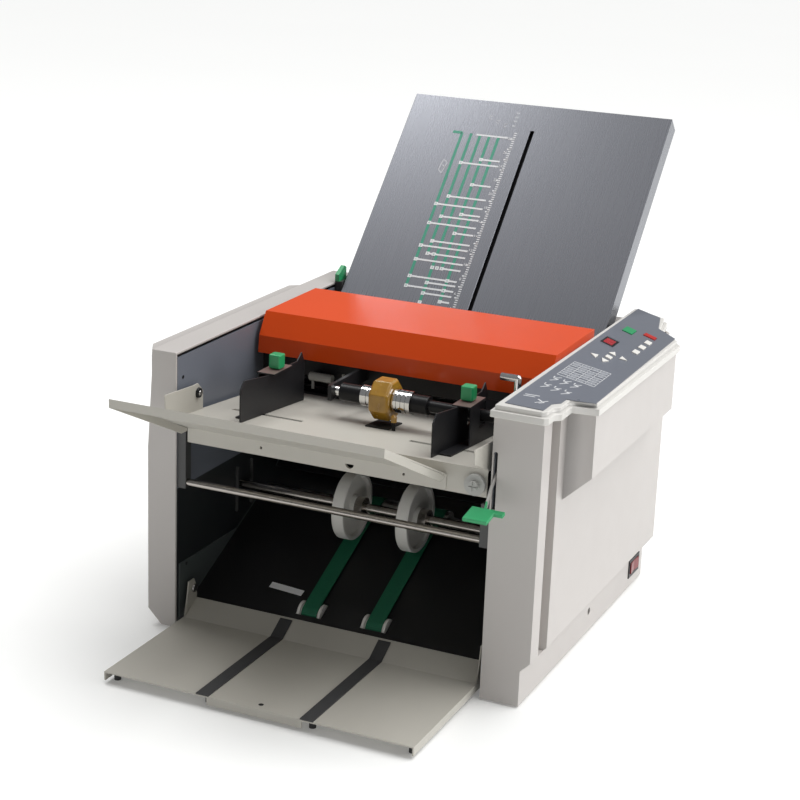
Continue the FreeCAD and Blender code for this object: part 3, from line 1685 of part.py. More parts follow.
def all_pieces():
    pieces = {
        "frame_left": frame_plate(-1, frame_top_left),
        "frame_right": frame_plate(1, frame_top_right),
        "base_plate": base_plate(),
        "rubber_feet": rubber_feet(),
        "front_tie_rod": front_tie_rod(),
        "wall_brackets": wall_brackets(),
        "cabinet_shell": cabinet_shell(),
        "cabinet_lid": cabinet_lid(),
        "control_overlay": control_overlay(),
        "power_rocker": rocker(),
        "left_cover": left_cover(),
        "rear_cover": rear_cover(),
        "power_fittings": group([power_inlet(), switch_bezel()]),
        "electrics": electrics(),
        "sheet_guides": sheet_guides(),
        "cross_beams": cross_beams(),
        "frame_screws": frame_screws(),
        "shaft_bushes": shaft_bushes(),
        "stacker_belts": stacker_belts(),
        "drive_belts": drive_belts(),
        "front_pulleys": front_pulleys(),
        "belt_drive_roller": belt_drive_roller(),
        "wheel_shaft": wheel_shaft(),
        "delivery_wheels": delivery_wheels(),
        "stacker_tray": stacker_tray(),
        "tray_strips": tray_strips(),
        "feed_table": feed_table(),
        "table_extension": table_extension(),
        "separator_pad": separator_pad(),
        "side_guide_left": side_guide(-1),
        "side_guide_right": side_guide(1),
        "guide_knob_left": guide_knob(-1),
        "guide_knob_right": guide_knob(1),
        "feed_shaft": feed_shaft(),
        "feed_tyre": feed_tyre(),
        "feed_sleeves": feed_sleeves(),
        "table_lever": table_lever(),
        "skew_dial": skew_dial(),
        "pressure_lever": pressure_lever(),
        "roller_cover": roller_cover(),
        "motor_pulley": motor_pulley(),
        "fold_plate_upper": fold_plate_upper(),
        "fold_stop_upper": fold_stop_upper(),
        "fold_plate_lower": fold_plate_lower(),
        "fold_stop_lower": fold_stop_lower(),
        "plate_lock_lever": plate_lock_lever(),
    }
    for index, name in enumerate(("middle", "entry", "rear", "exit")):
        pieces["fold_roller_" + name] = fold_roller(index)
    for name, x, y, outline in key_table():
        pieces[name] = key(x, y, outline)
    return pieces


def shift_to_base(pieces):
    """Vector that puts the middle of the whole object's base at the origin."""
    bounds = group(list(pieces.values())).BoundBox
    return Vec(-(bounds.XMin + bounds.XMax) / 2, -(bounds.YMin + bounds.YMax) / 2, -bounds.ZMin)


def main():
    os.makedirs("parts", exist_ok=True)
    pieces = all_pieces()
    shift = shift_to_base(pieces)
    for name, shape in pieces.items():
        shape.translated(shift).exportStep("parts/%s.step" % name)
        solids = shape.Solids
        print(name, len(solids), "solids", "valid" if shape.isValid() else "NOT VALID")


if __name__ == "__main__":
    main()
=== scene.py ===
import json
import math
import bmesh
import bpy
from mathutils import Matrix, Vector


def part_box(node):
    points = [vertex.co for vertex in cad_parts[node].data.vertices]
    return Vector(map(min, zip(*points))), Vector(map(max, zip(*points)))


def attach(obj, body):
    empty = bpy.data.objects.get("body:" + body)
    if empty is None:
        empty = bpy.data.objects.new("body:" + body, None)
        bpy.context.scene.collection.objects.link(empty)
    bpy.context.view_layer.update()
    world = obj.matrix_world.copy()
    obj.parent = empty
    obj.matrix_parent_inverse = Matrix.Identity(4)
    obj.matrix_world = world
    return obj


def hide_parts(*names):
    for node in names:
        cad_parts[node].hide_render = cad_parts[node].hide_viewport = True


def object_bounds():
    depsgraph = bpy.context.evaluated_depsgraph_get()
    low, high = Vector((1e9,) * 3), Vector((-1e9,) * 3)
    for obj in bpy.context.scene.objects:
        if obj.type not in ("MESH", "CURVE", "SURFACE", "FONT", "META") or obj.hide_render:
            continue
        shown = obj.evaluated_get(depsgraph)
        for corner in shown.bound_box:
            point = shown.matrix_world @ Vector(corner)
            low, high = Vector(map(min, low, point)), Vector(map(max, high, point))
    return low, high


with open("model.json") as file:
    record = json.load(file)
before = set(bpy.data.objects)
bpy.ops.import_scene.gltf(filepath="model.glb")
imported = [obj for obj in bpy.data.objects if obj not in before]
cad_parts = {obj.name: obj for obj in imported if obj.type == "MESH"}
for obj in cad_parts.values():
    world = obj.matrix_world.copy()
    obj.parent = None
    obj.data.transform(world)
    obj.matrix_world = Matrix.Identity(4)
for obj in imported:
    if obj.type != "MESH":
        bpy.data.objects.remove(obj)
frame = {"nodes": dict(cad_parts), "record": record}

CAD_LOW, CAD_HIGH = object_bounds()
BODY_OF = {n: b for b, nodes in frame["record"]["behaviour"]["bodies"].items() for n in nodes}
SLOT_OF = {s["node"]: s["material_slot"] for s in frame["record"]["subparts"]}

bl_info = {
    "name": "Paper folding machine",
    "version": (1, 0, 0),
    "blender": (4, 5, 0),
    "location": "View3D > Sidebar > Folder",
    "description": "Dresses the paper folding machine with its finishes, prints and small parts",
    "category": "Object",
}

MM = 0.001


class Socket:
    """A node's output that takes Python arithmetic."""

    def __init__(self, build, socket):
        self.build = build
        self.socket = socket

    def _maths(self, operation, *values):
        return self.build.node("ShaderNodeMath", {"operation": operation}, *values)

    def __add__(self, other):
        return self._maths("ADD", self, other)

    __radd__ = __add__

    def __sub__(self, other):
        return self._maths("SUBTRACT", self, other)

    def __rsub__(self, other):
        return self._maths("SUBTRACT", other, self)

    def __mul__(self, other):
        return self._maths("MULTIPLY", self, other)

    __rmul__ = __mul__

    def __gt__(self, other):
        return self._maths("GREATER_THAN", self, other)

    def __abs__(self):
        return self._maths("ABSOLUTE", self)


class Finish:
    """A material under construction: one Principled shader and the nodes that vary it."""

    def __init__(self, name, base, roughness, **constants):
        self.material = bpy.data.materials.new(name)
        self.material.use_nodes = True
        self.tree = self.material.node_tree
        self.shader = next(n for n in self.tree.nodes if n.type == "BSDF_PRINCIPLED")
        self.shader.inputs["Base Color"].default_value = (*base, 1)
        self.shader.inputs["Roughness"].default_value = roughness
        for key, value in constants.items():
            self.shader.inputs[key.replace("_", " ")].default_value = value
        self.material.diffuse_color = (*base, 1)

    def node(self, kind, settings=None, *values, output=0, **named):
        """A new node: its settings first, then the values or links of its sockets."""
        made = self.tree.nodes.new(kind)
        for key, value in (settings or {}).items():
            setattr(made, key, value)
        pairs = list(zip(made.inputs, values))
        pairs += [(made.inputs[key.replace("_", " ")], value) for key, value in named.items()]
        for socket, value in pairs:
            if isinstance(value, Socket):
                self.tree.links.new(value.socket, socket)
            else:
                socket.default_value = value
        return Socket(self, made.outputs[output])

    def coords(self, stretch=(1, 1, 1)):
        """Object coordinates in metres, stretched along the axes."""
        source = self.node("ShaderNodeTexCoord", output=3)
        return self.node("ShaderNodeMapping", None, source, Scale=stretch)

    def noise(self, scale, detail=3.0, stretch=(1, 1, 1)):
        """Noise from 0 to 1 over the object coordinates."""
        place = self.coords(stretch)
        return self.node("ShaderNodeTexNoise", None, Vector=place, Scale=scale, Detail=detail)

    def mix(self, factor, first, second):
        """Colour between two colours, each a tuple or a socket."""
        settings = {"data_type": "RGBA", "blend_type": "MIX"}
        made = self.node("ShaderNodeMix", settings, output=2)
        inputs = made.socket.node.inputs
        for index, value in ((0, factor), (6, first), (7, second)):
            if isinstance(value, Socket):
                self.tree.links.new(value.socket, inputs[index])
            else:
                inputs[index].default_value = (*value, 1)
        return made

    def feed(self, name, value):
        """Link a value to an input of the shader."""
        self.tree.links.new(value.socket, self.shader.inputs[name])

    def bump(self, height, strength, distance):
        """Fine relief from a height, its distance in metres."""
        relief = self.node("ShaderNodeBump", None, Strength=strength, Distance=distance,
                           Height=height)
        self.feed("Normal", relief)

    def mottle(self, base, spread, scale, detail=4.0):
        """Slow colour variation, a share of the colour lighter and darker."""
        dark = tuple(c * (1 - spread) for c in base)
        light = tuple(min(1, c * (1 + spread)) for c in base)
        self.feed("Base Color", self.mix(self.noise(scale, detail), dark, light))


def shaded(colour, share):
    """A colour made lighter or darker by a share of itself."""
    return tuple(c * share for c in colour)


def painted(name, base, roughness=0.42, spread=0.05, **constants):
    """Sprayed paint on sheet steel: fine orange peel and a faint mottle."""
    finish = Finish(name, base, roughness, **constants)
    finish.mottle(base, spread, 9)
    finish.feed("Roughness", finish.noise(26) * 0.14 + (roughness - 0.07))
    finish.bump(finish.noise(700, 2), 0.12, 0.0004)
    return finish.material


def moulded(name, base, roughness=0.5, spread=0.04, grain=1500, strength=0.2, **constants):
    """Moulded plastic with a fine spark-eroded grain."""
    finish = Finish(name, base, roughness, **constants)
    finish.mottle(base, spread, 7)
    finish.feed("Roughness", finish.noise(40) * 0.12 + (roughness - 0.06))
    finish.bump(finish.noise(grain, 1), strength, 0.0003)
    return finish.material


def machined(name, base, roughness=0.28):
    """Ground or brushed metal, its fine lines running along the X axis."""
    finish = Finish(name, base, roughness, Metallic=1.0)
    lines = finish.noise(14, 6, (3, 90, 90))
    finish.feed("Roughness", lines * 0.22 + (roughness - 0.1))
    finish.feed("Base Color", finish.mix(lines, shaded(base, 0.86), base))
    finish.bump(lines, 0.06, 0.0004)
    return finish.material


def cast_rubber(name, base):
    """Rubber with fine pores and a dusty bloom."""
    finish = Finish(name, base, 0.72)
    finish.mottle(base, 0.22, 30)
    finish.bump(finish.noise(900, 3), 0.3, 0.0004)
    return finish.material


def amber_rubber():
    """Cast feed rubber, warm and slightly clear, darker where sheets have worn it."""
    finish = Finish("amber_rubber", (0.48, 0.25, 0.03), 0.22, Coat_Weight=0.6, Coat_Roughness=0.1)
    worn, fresh = (0.24, 0.115, 0.012), (0.50, 0.28, 0.035)
    finish.feed("Base Color", finish.mix(finish.noise(90, 5), worn, fresh))
    finish.feed("Roughness", finish.noise(150, 3) * 0.2 + 0.14)
    finish.bump(finish.noise(300, 3), 0.12, 0.0004)
    return finish.material


def woven_belt():
    """Green transport belt with its fine weave."""
    base = (0.008, 0.17, 0.085)
    finish = Finish("woven_belt", base, 0.6)

    def threads(direction, scale):
        settings = {"wave_type": "BANDS", "bands_direction": direction}
        return finish.node("ShaderNodeTexWave", settings, Vector=finish.coords(), Scale=scale,
                           output=1)

    weave = threads("X", 420.0) * threads("Y", 380.0)
    finish.feed("Base Color", finish.mix(weave, shaded(base, 0.7), shaded(base, 1.35)))
    finish.bump(weave, 0.3, 0.0003)
    return finish.material


def polished_chrome():
    """Mirror plating with faint wipe marks."""
    finish = Finish("polished_chrome", (0.78, 0.78, 0.78), 0.08, Metallic=1.0)
    finish.feed("Roughness", finish.noise(60, 4) * 0.12 + 0.03)
    return finish.material


def fold_plate_metal():
    """Satin rolled sheet: long fine rolling lines down the slope."""
    base = (0.235, 0.243, 0.270)
    finish = Finish("fold_plate_metal", base, 0.27, Metallic=0.6)
    lines = finish.noise(9, 5, (60, 2, 2))
    cloud = finish.noise(5, 3)
    tone = finish.mix(lines, shaded(base, 0.98), shaded(base, 1.02))
    finish.feed("Base Color", finish.mix(cloud, tone, shaded(base, 1.06)))
    finish.feed("Roughness", lines * 0.03 + 0.26)
    finish.bump(lines, 0.012, 0.0003)
    return finish.material


def orange_gloss():
    """Glossy orange powder coat with a clear skin."""
    base = (0.72, 0.070, 0.005)
    finish = Finish("orange_gloss", base, 0.30, Coat_Weight=0.1, Coat_Roughness=0.12,
                    Specular_IOR_Level=0.3)
    finish.mottle(base, 0.06, 6)
    finish.bump(finish.noise(420, 2), 0.08, 0.0005)
    return finish.material


def lit_window():
    """Smoked display window with a dull red number field."""
    finish = Finish("lit_window", (0.02, 0.004, 0.004), 0.12)
    finish.feed("Roughness", finish.noise(50) * 0.08 + 0.08)
    dull, bright = (0.30, 0.006, 0.01), (0.52, 0.012, 0.016)
    finish.feed("Base Color", finish.mix(finish.noise(90), dull, bright))
    return finish.material


def two_colours(name, low, high, axis, edge, both_sides=False, **constants):
    """Two colours that meet where the place along an axis passes an edge: two-tone paint on the
    lever, painted shade on the frame walls and painted light on the bed's flanges.
    """
    finish = Finish(name, high, 0.4, **constants)
    place = finish.node("ShaderNodeSeparateXYZ", None, finish.coords(), output=axis)
    if both_sides:
        place = abs(place - origin()[axis])
    finish.feed("Base Color", finish.mix(place > edge, low, high))
    finish.feed("Roughness", finish.noise(26) * 0.14 + 0.33)
    finish.bump(finish.noise(700, 2), 0.1, 0.0004)
    return finish.material


def smooth_by_angle(mesh, degrees):
    """Smooth shading with crisp edges where faces meet at more than the angle."""
    for polygon in mesh.polygons:
        polygon.use_smooth = True
    mesh.set_sharp_from_angle(angle=math.radians(degrees))


def linked(name, data):
    """A new object in the scene."""
    made = bpy.data.objects.new(name, data)
    bpy.context.scene.collection.objects.link(made)
    return made


def plain_mesh(piece):
    """The mesh of an object with its modifiers applied."""
    graph = bpy.context.evaluated_depsgraph_get()
    return bpy.data.meshes.new_from_object(piece.evaluated_get(graph))


def coat(mesh, material):
    """Give a mesh its one material."""
    mesh.materials.clear()
    mesh.materials.append(material)


def new_piece(name, mesh, body, material):
    """Link a finished mesh as a piece that rides on a body."""
    piece = linked(name, mesh)
    coat(mesh, material)
    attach(piece, body)
    return piece


# Vertices nearer than WELD merge, flatter edges than FLAT go, sharper ones than CREASE are rounded.
WELD = 0.01 * MM
FLAT = math.radians(0.6)
CREASE = math.radians(32)


def rounded_skin(node, width, material, segments=2):
    """A copy of a node's shape with its outer edges rounded, shown in its place."""
    source = frame["nodes"][node]
    shape = bmesh.new()
    shape.from_mesh(source.data)
    bmesh.ops.remove_doubles(shape, verts=shape.verts, dist=WELD)
    bmesh.ops.dissolve_limit(shape, angle_limit=FLAT, verts=shape.verts, edges=shape.edges,
                             use_dissolve_boundaries=False)
    weight = shape.edges.layers.float.new("bevel_weight_edge")
    for edge in shape.edges:
        if edge.is_manifold and edge.is_convex and edge.calc_face_angle() > CREASE:
            edge[weight] = 1
    mesh = bpy.data.meshes.new(node + "_skin")
    shape.to_mesh(mesh)
    shape.free()
    smooth_by_angle(mesh, 35)
    piece = linked(node + "_skin", mesh)
    bevel = piece.modifiers.new("edges", "BEVEL")
    bevel.width = width
    bevel.segments = segments
    bevel.limit_method = "WEIGHT"
    bevel.use_clamp_overlap = True
    bevel.miter_outer = "MITER_ARC"
    weighted = piece.modifiers.new("flat", "WEIGHTED_NORMAL")
    weighted.keep_sharp = True
    weighted.weight = 100
    baked = plain_mesh(piece)
    piece.modifiers.clear()
    piece.data = baked
    coat(baked, material)
    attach(piece, BODY_OF[node])
    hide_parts(node)
    return piece


def mesh_of(build):
    """Mesh made by a function that fills a bmesh."""
    shape = bmesh.new()
    build(shape)
    bmesh.ops.recalc_face_normals(shape, faces=shape.faces)
    mesh = bpy.data.meshes.new("made")
    shape.to_mesh(mesh)
    shape.free()
    return mesh


def add_block(shape, low, high, matrix=Matrix.Identity(4)):
    """Box between two corners, placed by a matrix."""
    size = Vector(high) - Vector(low)
    middle = (Vector(high) + Vector(low)) / 2
    place = matrix @ Matrix.Translation(middle) @ Matrix.Diagonal((*size, 1))
    return bmesh.ops.create_cube(shape, size=1, matrix=place)["verts"]


def add_disc(shape, place, axis, radius, depth, sides=32, top=None):
    """Short cylinder or cone standing on a point along an axis."""
    turned = Vector(axis).to_track_quat("Z", "Y").to_matrix().to_4x4()
    matrix = Matrix.Translation(Vector(place)) @ turned @ Matrix.Translation((0, 0, depth / 2))
    bmesh.ops.create_cone(shape, cap_ends=True, segments=sides, radius1=radius,
                          radius2=radius if top is None else top, depth=depth, matrix=matrix)


def add_stroke(shape, start, end, width, lift, matrix):
    """Thin flat bar from one point to another in a plane."""
    start = Vector((*start, 0))
    end = Vector((*end, 0))
    along = end - start
    turned = Matrix.Rotation(math.atan2(along.y, along.x), 4, "Z")
    place = matrix @ Matrix.Translation(start) @ turned
    add_block(shape, (0, -width / 2, 0), (along.length, width / 2, lift), place)


def add_text(words, size, matrix, lift):
    """Plain numbers as a raised flat mesh."""
    curve = bpy.data.curves.new("numbers", "FONT")
    curve.body = words
    curve.size = size
    curve.extrude = lift / 2
    curve.align_x = "CENTER"
    curve.align_y = "CENTER"
    holder = linked("numbers", curve)
    bpy.context.view_layer.update()
    mesh = plain_mesh(holder)
    bpy.data.objects.remove(holder)
    mesh.transform(matrix)
    return mesh


def joined_mesh(meshes):
    """One mesh from several."""
    shape = bmesh.new()
    for mesh in meshes:
        shape.from_mesh(mesh)
    made = bpy.data.meshes.new("joined")
    shape.to_mesh(made)
    shape.free()
    return made


class Tree:
    """A Geometry Nodes tree under construction."""

    def __init__(self, name, **inputs):
        self.group = bpy.data.node_groups.new(name, "GeometryNodeTree")
        self.sockets = {}
        kinds = {float: "NodeSocketFloat", int: "NodeSocketInt"}
        for key, value in inputs.items():
            made = self.group.interface.new_socket(key, in_out="INPUT",
                                                   socket_type=kinds[type(value)])
            made.default_value = value
            self.sockets[key] = made.identifier
        self.group.interface.new_socket("Geometry", in_out="OUTPUT",
                                        socket_type="NodeSocketGeometry")
        self.start = self.group.nodes.new("NodeGroupInput")
        self.end = self.group.nodes.new("NodeGroupOutput")

    def value(self, key):
        """One of the tree's own inputs."""
        return self.start.outputs[key]

    def node(self, kind, settings=None, **named):
        """A new node: its settings first, then the values or links of its sockets."""
        made = self.group.nodes.new(kind)
        for key, value in (settings or {}).items():
            setattr(made, key, value)
        for key, value in named.items():
            if isinstance(value, bpy.types.NodeSocket):
                self.group.links.new(value, made.inputs[key])
            else:
                made.inputs[key].default_value = value
        return made.outputs[0]

    def finish(self, geometry, material):
        """Send plain, coated geometry to the output."""
        plain = self.node("GeometryNodeRealizeInstances", Geometry=geometry)
        coated = self.node("GeometryNodeSetMaterial", Geometry=plain, Material=material)
        self.group.links.new(coated, self.end.inputs[0])


def grown(name, tree, material, body, slot, place, **inputs):
    """Run a tree on an empty mesh, keep its plain mesh and put it in place."""
    holder = linked(name, bpy.data.meshes.new(name))
    modifier = holder.modifiers.new("grown", "NODES")
    modifier.node_group = tree.group
    for key, value in inputs.items():
        modifier[tree.sockets[key]] = value
    bpy.context.view_layer.update()
    mesh = plain_mesh(holder)
    bpy.data.objects.remove(holder)
    mesh.transform(place)
    return new_piece(name, mesh, body, material)


def row_tree(material):
    """A row of equal bars: count, pitch along Y, and the bar's size."""
    tree = Tree("bar_row", Count=10, Pitch=0.005, Length=0.01, Width=0.001, Height=0.0002)
    offset = tree.node("ShaderNodeCombineXYZ", Y=tree.value("Pitch"))
    points = tree.node("GeometryNodeMeshLine", {"mode": "OFFSET"}, Count=tree.value("Count"),
                       Offset=offset)
    size = tree.node("ShaderNodeCombineXYZ", X=tree.value("Length"), Y=tree.value("Width"),
                     Z=tree.value("Height"))
    bar = tree.node("GeometryNodeMeshCube", Size=size)
    rows = tree.node("GeometryNodeInstanceOnPoints", Points=points, Instance=bar)
    tree.finish(rows, material)
    return tree


FINISHES = {}


def make_finishes(looks):
    """Every finish by the name that the pieces use."""
    FINISHES.update(
        cover=moulded("warm_grey_cover", tuple(looks.cover_colour), 0.42),
        lid=moulded("off_white_lid", tuple(looks.lid_colour), 0.40),
        black=painted("satin_black_paint", (0.013, 0.013, 0.015), 0.42, 0.1,
                      Specular_IOR_Level=0.35),
        dark_grey=painted("dark_grey_paint", (0.055, 0.055, 0.055), 0.4, 0.06),
        beige=painted("beige_grey_paint", tuple(looks.table_colour), 0.45, 0.03),
        strip=cast_rubber("dark_grey_strip", (0.045, 0.045, 0.047)),
        rubber=cast_rubber("black_rubber", (0.012, 0.012, 0.012)),
        amber=amber_rubber(),
        belt=woven_belt(),
        orange=orange_gloss(),
        plate=fold_plate_metal(),
        steel=machined("ground_steel", (0.52, 0.51, 0.50)),
        bright=machined("bright_steel", (0.44, 0.41, 0.38), 0.24),
        clamp=painted("copper_brown_steel", (0.15, 0.105, 0.095), 0.4, 0.05),
        zinc=painted("zinc_grey", (0.42, 0.42, 0.40), 0.4, 0.05),
        chrome=polished_chrome(),
        black_plastic=moulded("satin_black_plastic", (0.009, 0.009, 0.010), 0.36,
                              Specular_IOR_Level=0.25),
        film=moulded("blue_grey_film", tuple(looks.film_colour), 0.30, 0.01, 900, 0.01),
        paper=moulded("label_paper", (0.86, 0.87, 0.88), 0.6),
        dark_red=moulded("dark_red_plastic", (0.20, 0.012, 0.016), 0.30, 0.04, 600, 0.06),
        print_white=moulded("printed_white", (0.78, 0.79, 0.80), 0.4),
        print_grey=moulded("printed_grey", (0.40, 0.42, 0.46), 0.4),
        print_grey_light=moulded("printed_light_grey", (0.50, 0.51, 0.54), 0.4),
        print_teal=moulded("printed_teal", (0.035, 0.30, 0.19), 0.4),
        green=moulded("green_plastic", tuple(looks.green_colour), 0.32, 0.05, 600, 0.08,
                      Coat_Weight=0.2),
        red=moulded("red_plastic", (0.50, 0.018, 0.012), 0.30, 0.04, 600, 0.06),
        white=moulded("white_plastic", (0.80, 0.785, 0.745), 0.42, 0.04),
        display=lit_window(),
    )


class LooksSettings(bpy.types.PropertyGroup):
    """Colours and edge rounding of the machine."""
    cover_colour: bpy.props.FloatVectorProperty(
        name="Cover colour", description="Warm grey of the side covers", subtype="COLOR",
        default=(0.52, 0.492, 0.472))
    lid_colour: bpy.props.FloatVectorProperty(
        name="Lid colour", description="Off-white of the cabinet lid", subtype="COLOR",
        default=(0.66, 0.645, 0.615))
    table_colour: bpy.props.FloatVectorProperty(
        name="Table colour", description="Beige grey of the tray and the feed table",
        subtype="COLOR", default=(0.50, 0.48, 0.43))
    film_colour: bpy.props.FloatVectorProperty(
        name="Film colour", description="Blue grey of the printed panel", subtype="COLOR",
        default=(0.155, 0.167, 0.198))
    green_colour: bpy.props.FloatVectorProperty(
        name="Green parts", description="Green of the levers and knobs", subtype="COLOR",
        default=(0.02, 0.33, 0.12))
    edge_round: bpy.props.FloatProperty(
        name="Cover edge", description="Rounding of the covers' edges", unit="LENGTH",
        default=2.5 * MM)
    sheet_round: bpy.props.FloatProperty(
        name="Sheet edge", description="Rounding of cut sheet-metal edges", unit="LENGTH",
        default=0.4 * MM)


class StageSettings(bpy.types.PropertyGroup):
    """Camera, floor and lights."""
    camera_place: bpy.props.FloatVectorProperty(
        name="Camera", description="Place of the camera", subtype="TRANSLATION",
        default=(0.7829, -1.83459, 0.8410))
    camera_azimuth: bpy.props.FloatProperty(
        name="Azimuth", description="Turn of the view about the vertical", subtype="ANGLE",
        default=math.radians(23.882))
    camera_elevation: bpy.props.FloatProperty(
        name="Elevation", description="Height angle of the view", subtype="ANGLE",
        default=math.radians(17.079))
    camera_roll: bpy.props.FloatProperty(
        name="Roll", description="Lean of the picture", subtype="ANGLE",
        default=math.radians(2.224))
    lens: bpy.props.FloatProperty(
        name="Lens", description="Focal length on a 36 mm sensor", default=86.06)
    floor_colour: bpy.props.FloatVectorProperty(
        name="Floor colour", description="Pale studio floor", subtype="COLOR",
        default=(0.90, 0.905, 0.895))
    world_strength: bpy.props.FloatProperty(
        name="Room light", description="Strength of the even white room light", default=0.20)
    ceiling_strength: bpy.props.FloatProperty(
        name="Ceiling light", description="Strength of the wide soft light from above", default=2.6)


def origin():
    """Middle of the front at floor level: halfway along the tie rod, on the covers' front plane."""
    rod_low, rod_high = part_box("front_tie_rod")
    return Vector(((rod_low.x + rod_high.x) / 2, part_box("cabinet_shell")[0].y, 0))


def at(x, y, z):
    """Point in millimetres to the right of, behind and above that origin."""
    return origin() + Vector((x, y, z)) * MM


PLATE_ANGLE = math.radians(46.6)
PLATE_FLANGE = 22 * MM
BED_ANGLE = math.radians(25)
BED_LIFT = 8 * MM
PRINT_LIFT = 0.15 * MM


def plate_face():
    """Upper fold plate's face as a matrix: X right, Y up the slope from its top edge, Z out."""
    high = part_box("fold_plate_upper")[1]
    place = Vector((origin().x, high.y - PLATE_FLANGE * math.sin(PLATE_ANGLE), high.z))
    return Matrix.Translation(place) @ Matrix.Rotation(PLATE_ANGLE, 4, "X")


def film_face():
    """Printed panel's face as a matrix: over the origin, Z up."""
    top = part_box("control_overlay")[1].z
    start = origin()
    return Matrix.Translation((start.x, start.y, top))


def bed_face():
    """Sloping bed's face as a matrix: X right, Y up the slope from the front pulleys' axis."""
    low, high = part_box("front_pulleys")
    middle = Vector((origin().x, (low.y + high.y) / 2, (low.z + high.z) / 2))
    slope = Matrix.Rotation(BED_ANGLE, 4, "X")
    return Matrix.Translation(middle) @ slope @ Matrix.Translation((0, 0, BED_LIFT))


def drawn(name, build, body, finish):
    """A piece filled in by a function, with a finish by its name."""
    return new_piece(name, mesh_of(build), body, FINISHES[finish])


class PieceOperator:
    """What every operator here shares."""
    bl_options = {"REGISTER", "UNDO"}


NODE_FINISHES = {
    "belt_drive_roller": "steel", "control_overlay": "film", "drive_belts": "rubber",
    "electrics": "steel", "feed_shaft": "chrome", "feed_sleeves": "black_plastic",
    "fold_stop_lower": "steel", "fold_stop_upper": "steel", "frame_screws": "steel",
    "front_pulleys": "white", "front_tie_rod": "bright", "motor_pulley": "steel",
    "power_fittings": "black_plastic", "pressure_lever": "chrome", "rubber_feet": "rubber",
    "separator_pad": "rubber", "shaft_bushes": "steel", "skew_dial": "zinc",
    "stacker_belts": "belt", "tray_strips": "strip", "wheel_shaft": "bright",
}


class FOLDER_OT_finishes(PieceOperator, bpy.types.Operator):
    """Make the finishes and give every node its own"""
    bl_idname = "folder.finishes"
    bl_label = "Finishes"

    def execute(self, context):
        make_finishes(context.scene.folder_looks)
        for name in frame["nodes"]:
            key = NODE_FINISHES.get(name, "steel" if name.startswith("fold_roller") else "black")
            mesh = frame["nodes"][name].data
            coat(mesh, FINISHES[key])
            smooth_by_angle(mesh, 30)
        return {"FINISHED"}


class FOLDER_OT_covers(PieceOperator, bpy.types.Operator):
    """Moulded side covers, lid and rear cover"""
    bl_idname = "folder.covers"
    bl_label = "Covers"

    def execute(self, context):
        edge = context.scene.folder_looks.edge_round
        rounded_skin("left_cover", edge, FINISHES["cover"], 3)
        rounded_skin("cabinet_shell", edge, FINISHES["cover"], 3)
        rounded_skin("cabinet_lid", edge * 0.6, FINISHES["lid"], 3)
        rounded_skin("rear_cover", edge * 0.25, FINISHES["cover"])
        return {"FINISHED"}


# Where the painted shade and painted light change, in metres: the walls are painted dark below a
# height, the bed's side flanges lighter beyond a distance from the middle.
WALL_SHADE_Z = 0.158
BED_FLANGE_X = 0.1732


class FOLDER_OT_frames(PieceOperator, bpy.types.Operator):
    """Frame plates, beams, sheet guides and brackets"""
    bl_idname = "folder.frames"
    bl_label = "Frames"

    def execute(self, context):
        edge = context.scene.folder_looks.sheet_round
        # Painted shade: the frame walls are painted dark below a height, where shade falls on them.
        walls = two_colours("frame_paint_with_painted_shade", (0.020, 0.023, 0.025), (0.165, 0.180, 0.215),
                         2, WALL_SHADE_Z)
        # Painted light: the bed's side flanges are painted lighter than its black middle, where
        # light falls on them.
        bed = two_colours("bed_paint_with_painted_light", (0.013, 0.013, 0.014), (0.075, 0.088, 0.088),
                       0, BED_FLANGE_X, True, Specular_IOR_Level=0.3)
        rounded_skin("frame_left", edge, walls)
        rounded_skin("frame_right", edge, walls)
        rounded_skin("sheet_guides", edge, bed)
        rounded_skin("cross_beams", edge * 2, FINISHES["black"])
        rounded_skin("wall_brackets", edge * 2, FINISHES["dark_grey"])

        def label(shape):
            add_stroke(shape, (-97 * MM, 21.2 * MM), (-57 * MM, 18.2 * MM), 8 * MM, PRINT_LIFT,
                       bed_face())

        drawn("bed_label", label, "chassis", "paper")

        # Painted highlights: a light zinc stub and tabs on the black beam stand in for the light
        # marks on it.
        def highlight_stub_and_tabs(shape):
            add_disc(shape, at(-111, 178, 247), (1, 0, 0), 4.8 * MM, 27 * MM, 32)
            for x, low, high in ((-112, 230, 247), (-75, 241, 252)):
                add_block(shape, at(x - 1.4, 186, low), at(x + 1.4, 188, high))

        drawn("beam_highlight_tabs", highlight_stub_and_tabs, "chassis", "zinc")
        return {"FINISHED"}


class FOLDER_OT_tray(PieceOperator, bpy.types.Operator):
    """Folding stacker tray"""
    bl_idname = "folder.tray"
    bl_label = "Stacker tray"

    def execute(self, context):
        rounded_skin("stacker_tray", context.scene.folder_looks.sheet_round, FINISHES["beige"])

        def hole_shade(shape):
            add_disc(shape, at(3, -137, 13), (0, 0, 1), 2.6 * MM, 0.12 * MM, 24)

        drawn("tray_hole_shade", hole_shade, "tray", "black")
        return {"FINISHED"}


class FOLDER_OT_table(PieceOperator, bpy.types.Operator):
    """Feed table with its front extension"""
    bl_idname = "folder.table"
    bl_label = "Feed table"

    def execute(self, context):
        edge = context.scene.folder_looks.sheet_round
        rounded_skin("feed_table", edge, FINISHES["beige"])
        rounded_skin("table_extension", edge * 1.5, FINISHES["beige"])

        def spring_cap(shape):
            add_disc(shape, at(30, 91, 241), (0, 0, 1), 3.2 * MM, 5.5 * MM, 32)
            add_disc(shape, at(30, 91, 246.5), (0, 0, 1), 3.2 * MM, 2 * MM, 32, 1.6 * MM)

        drawn("spring_cap", spring_cap, "table", "amber")

        def spring_post(shape):
            add_disc(shape, at(30, 91, 230), (0, 0, 1), 2 * MM, 11 * MM, 24)

        drawn("spring_post", spring_post, "table", "black_plastic")
        return {"FINISHED"}


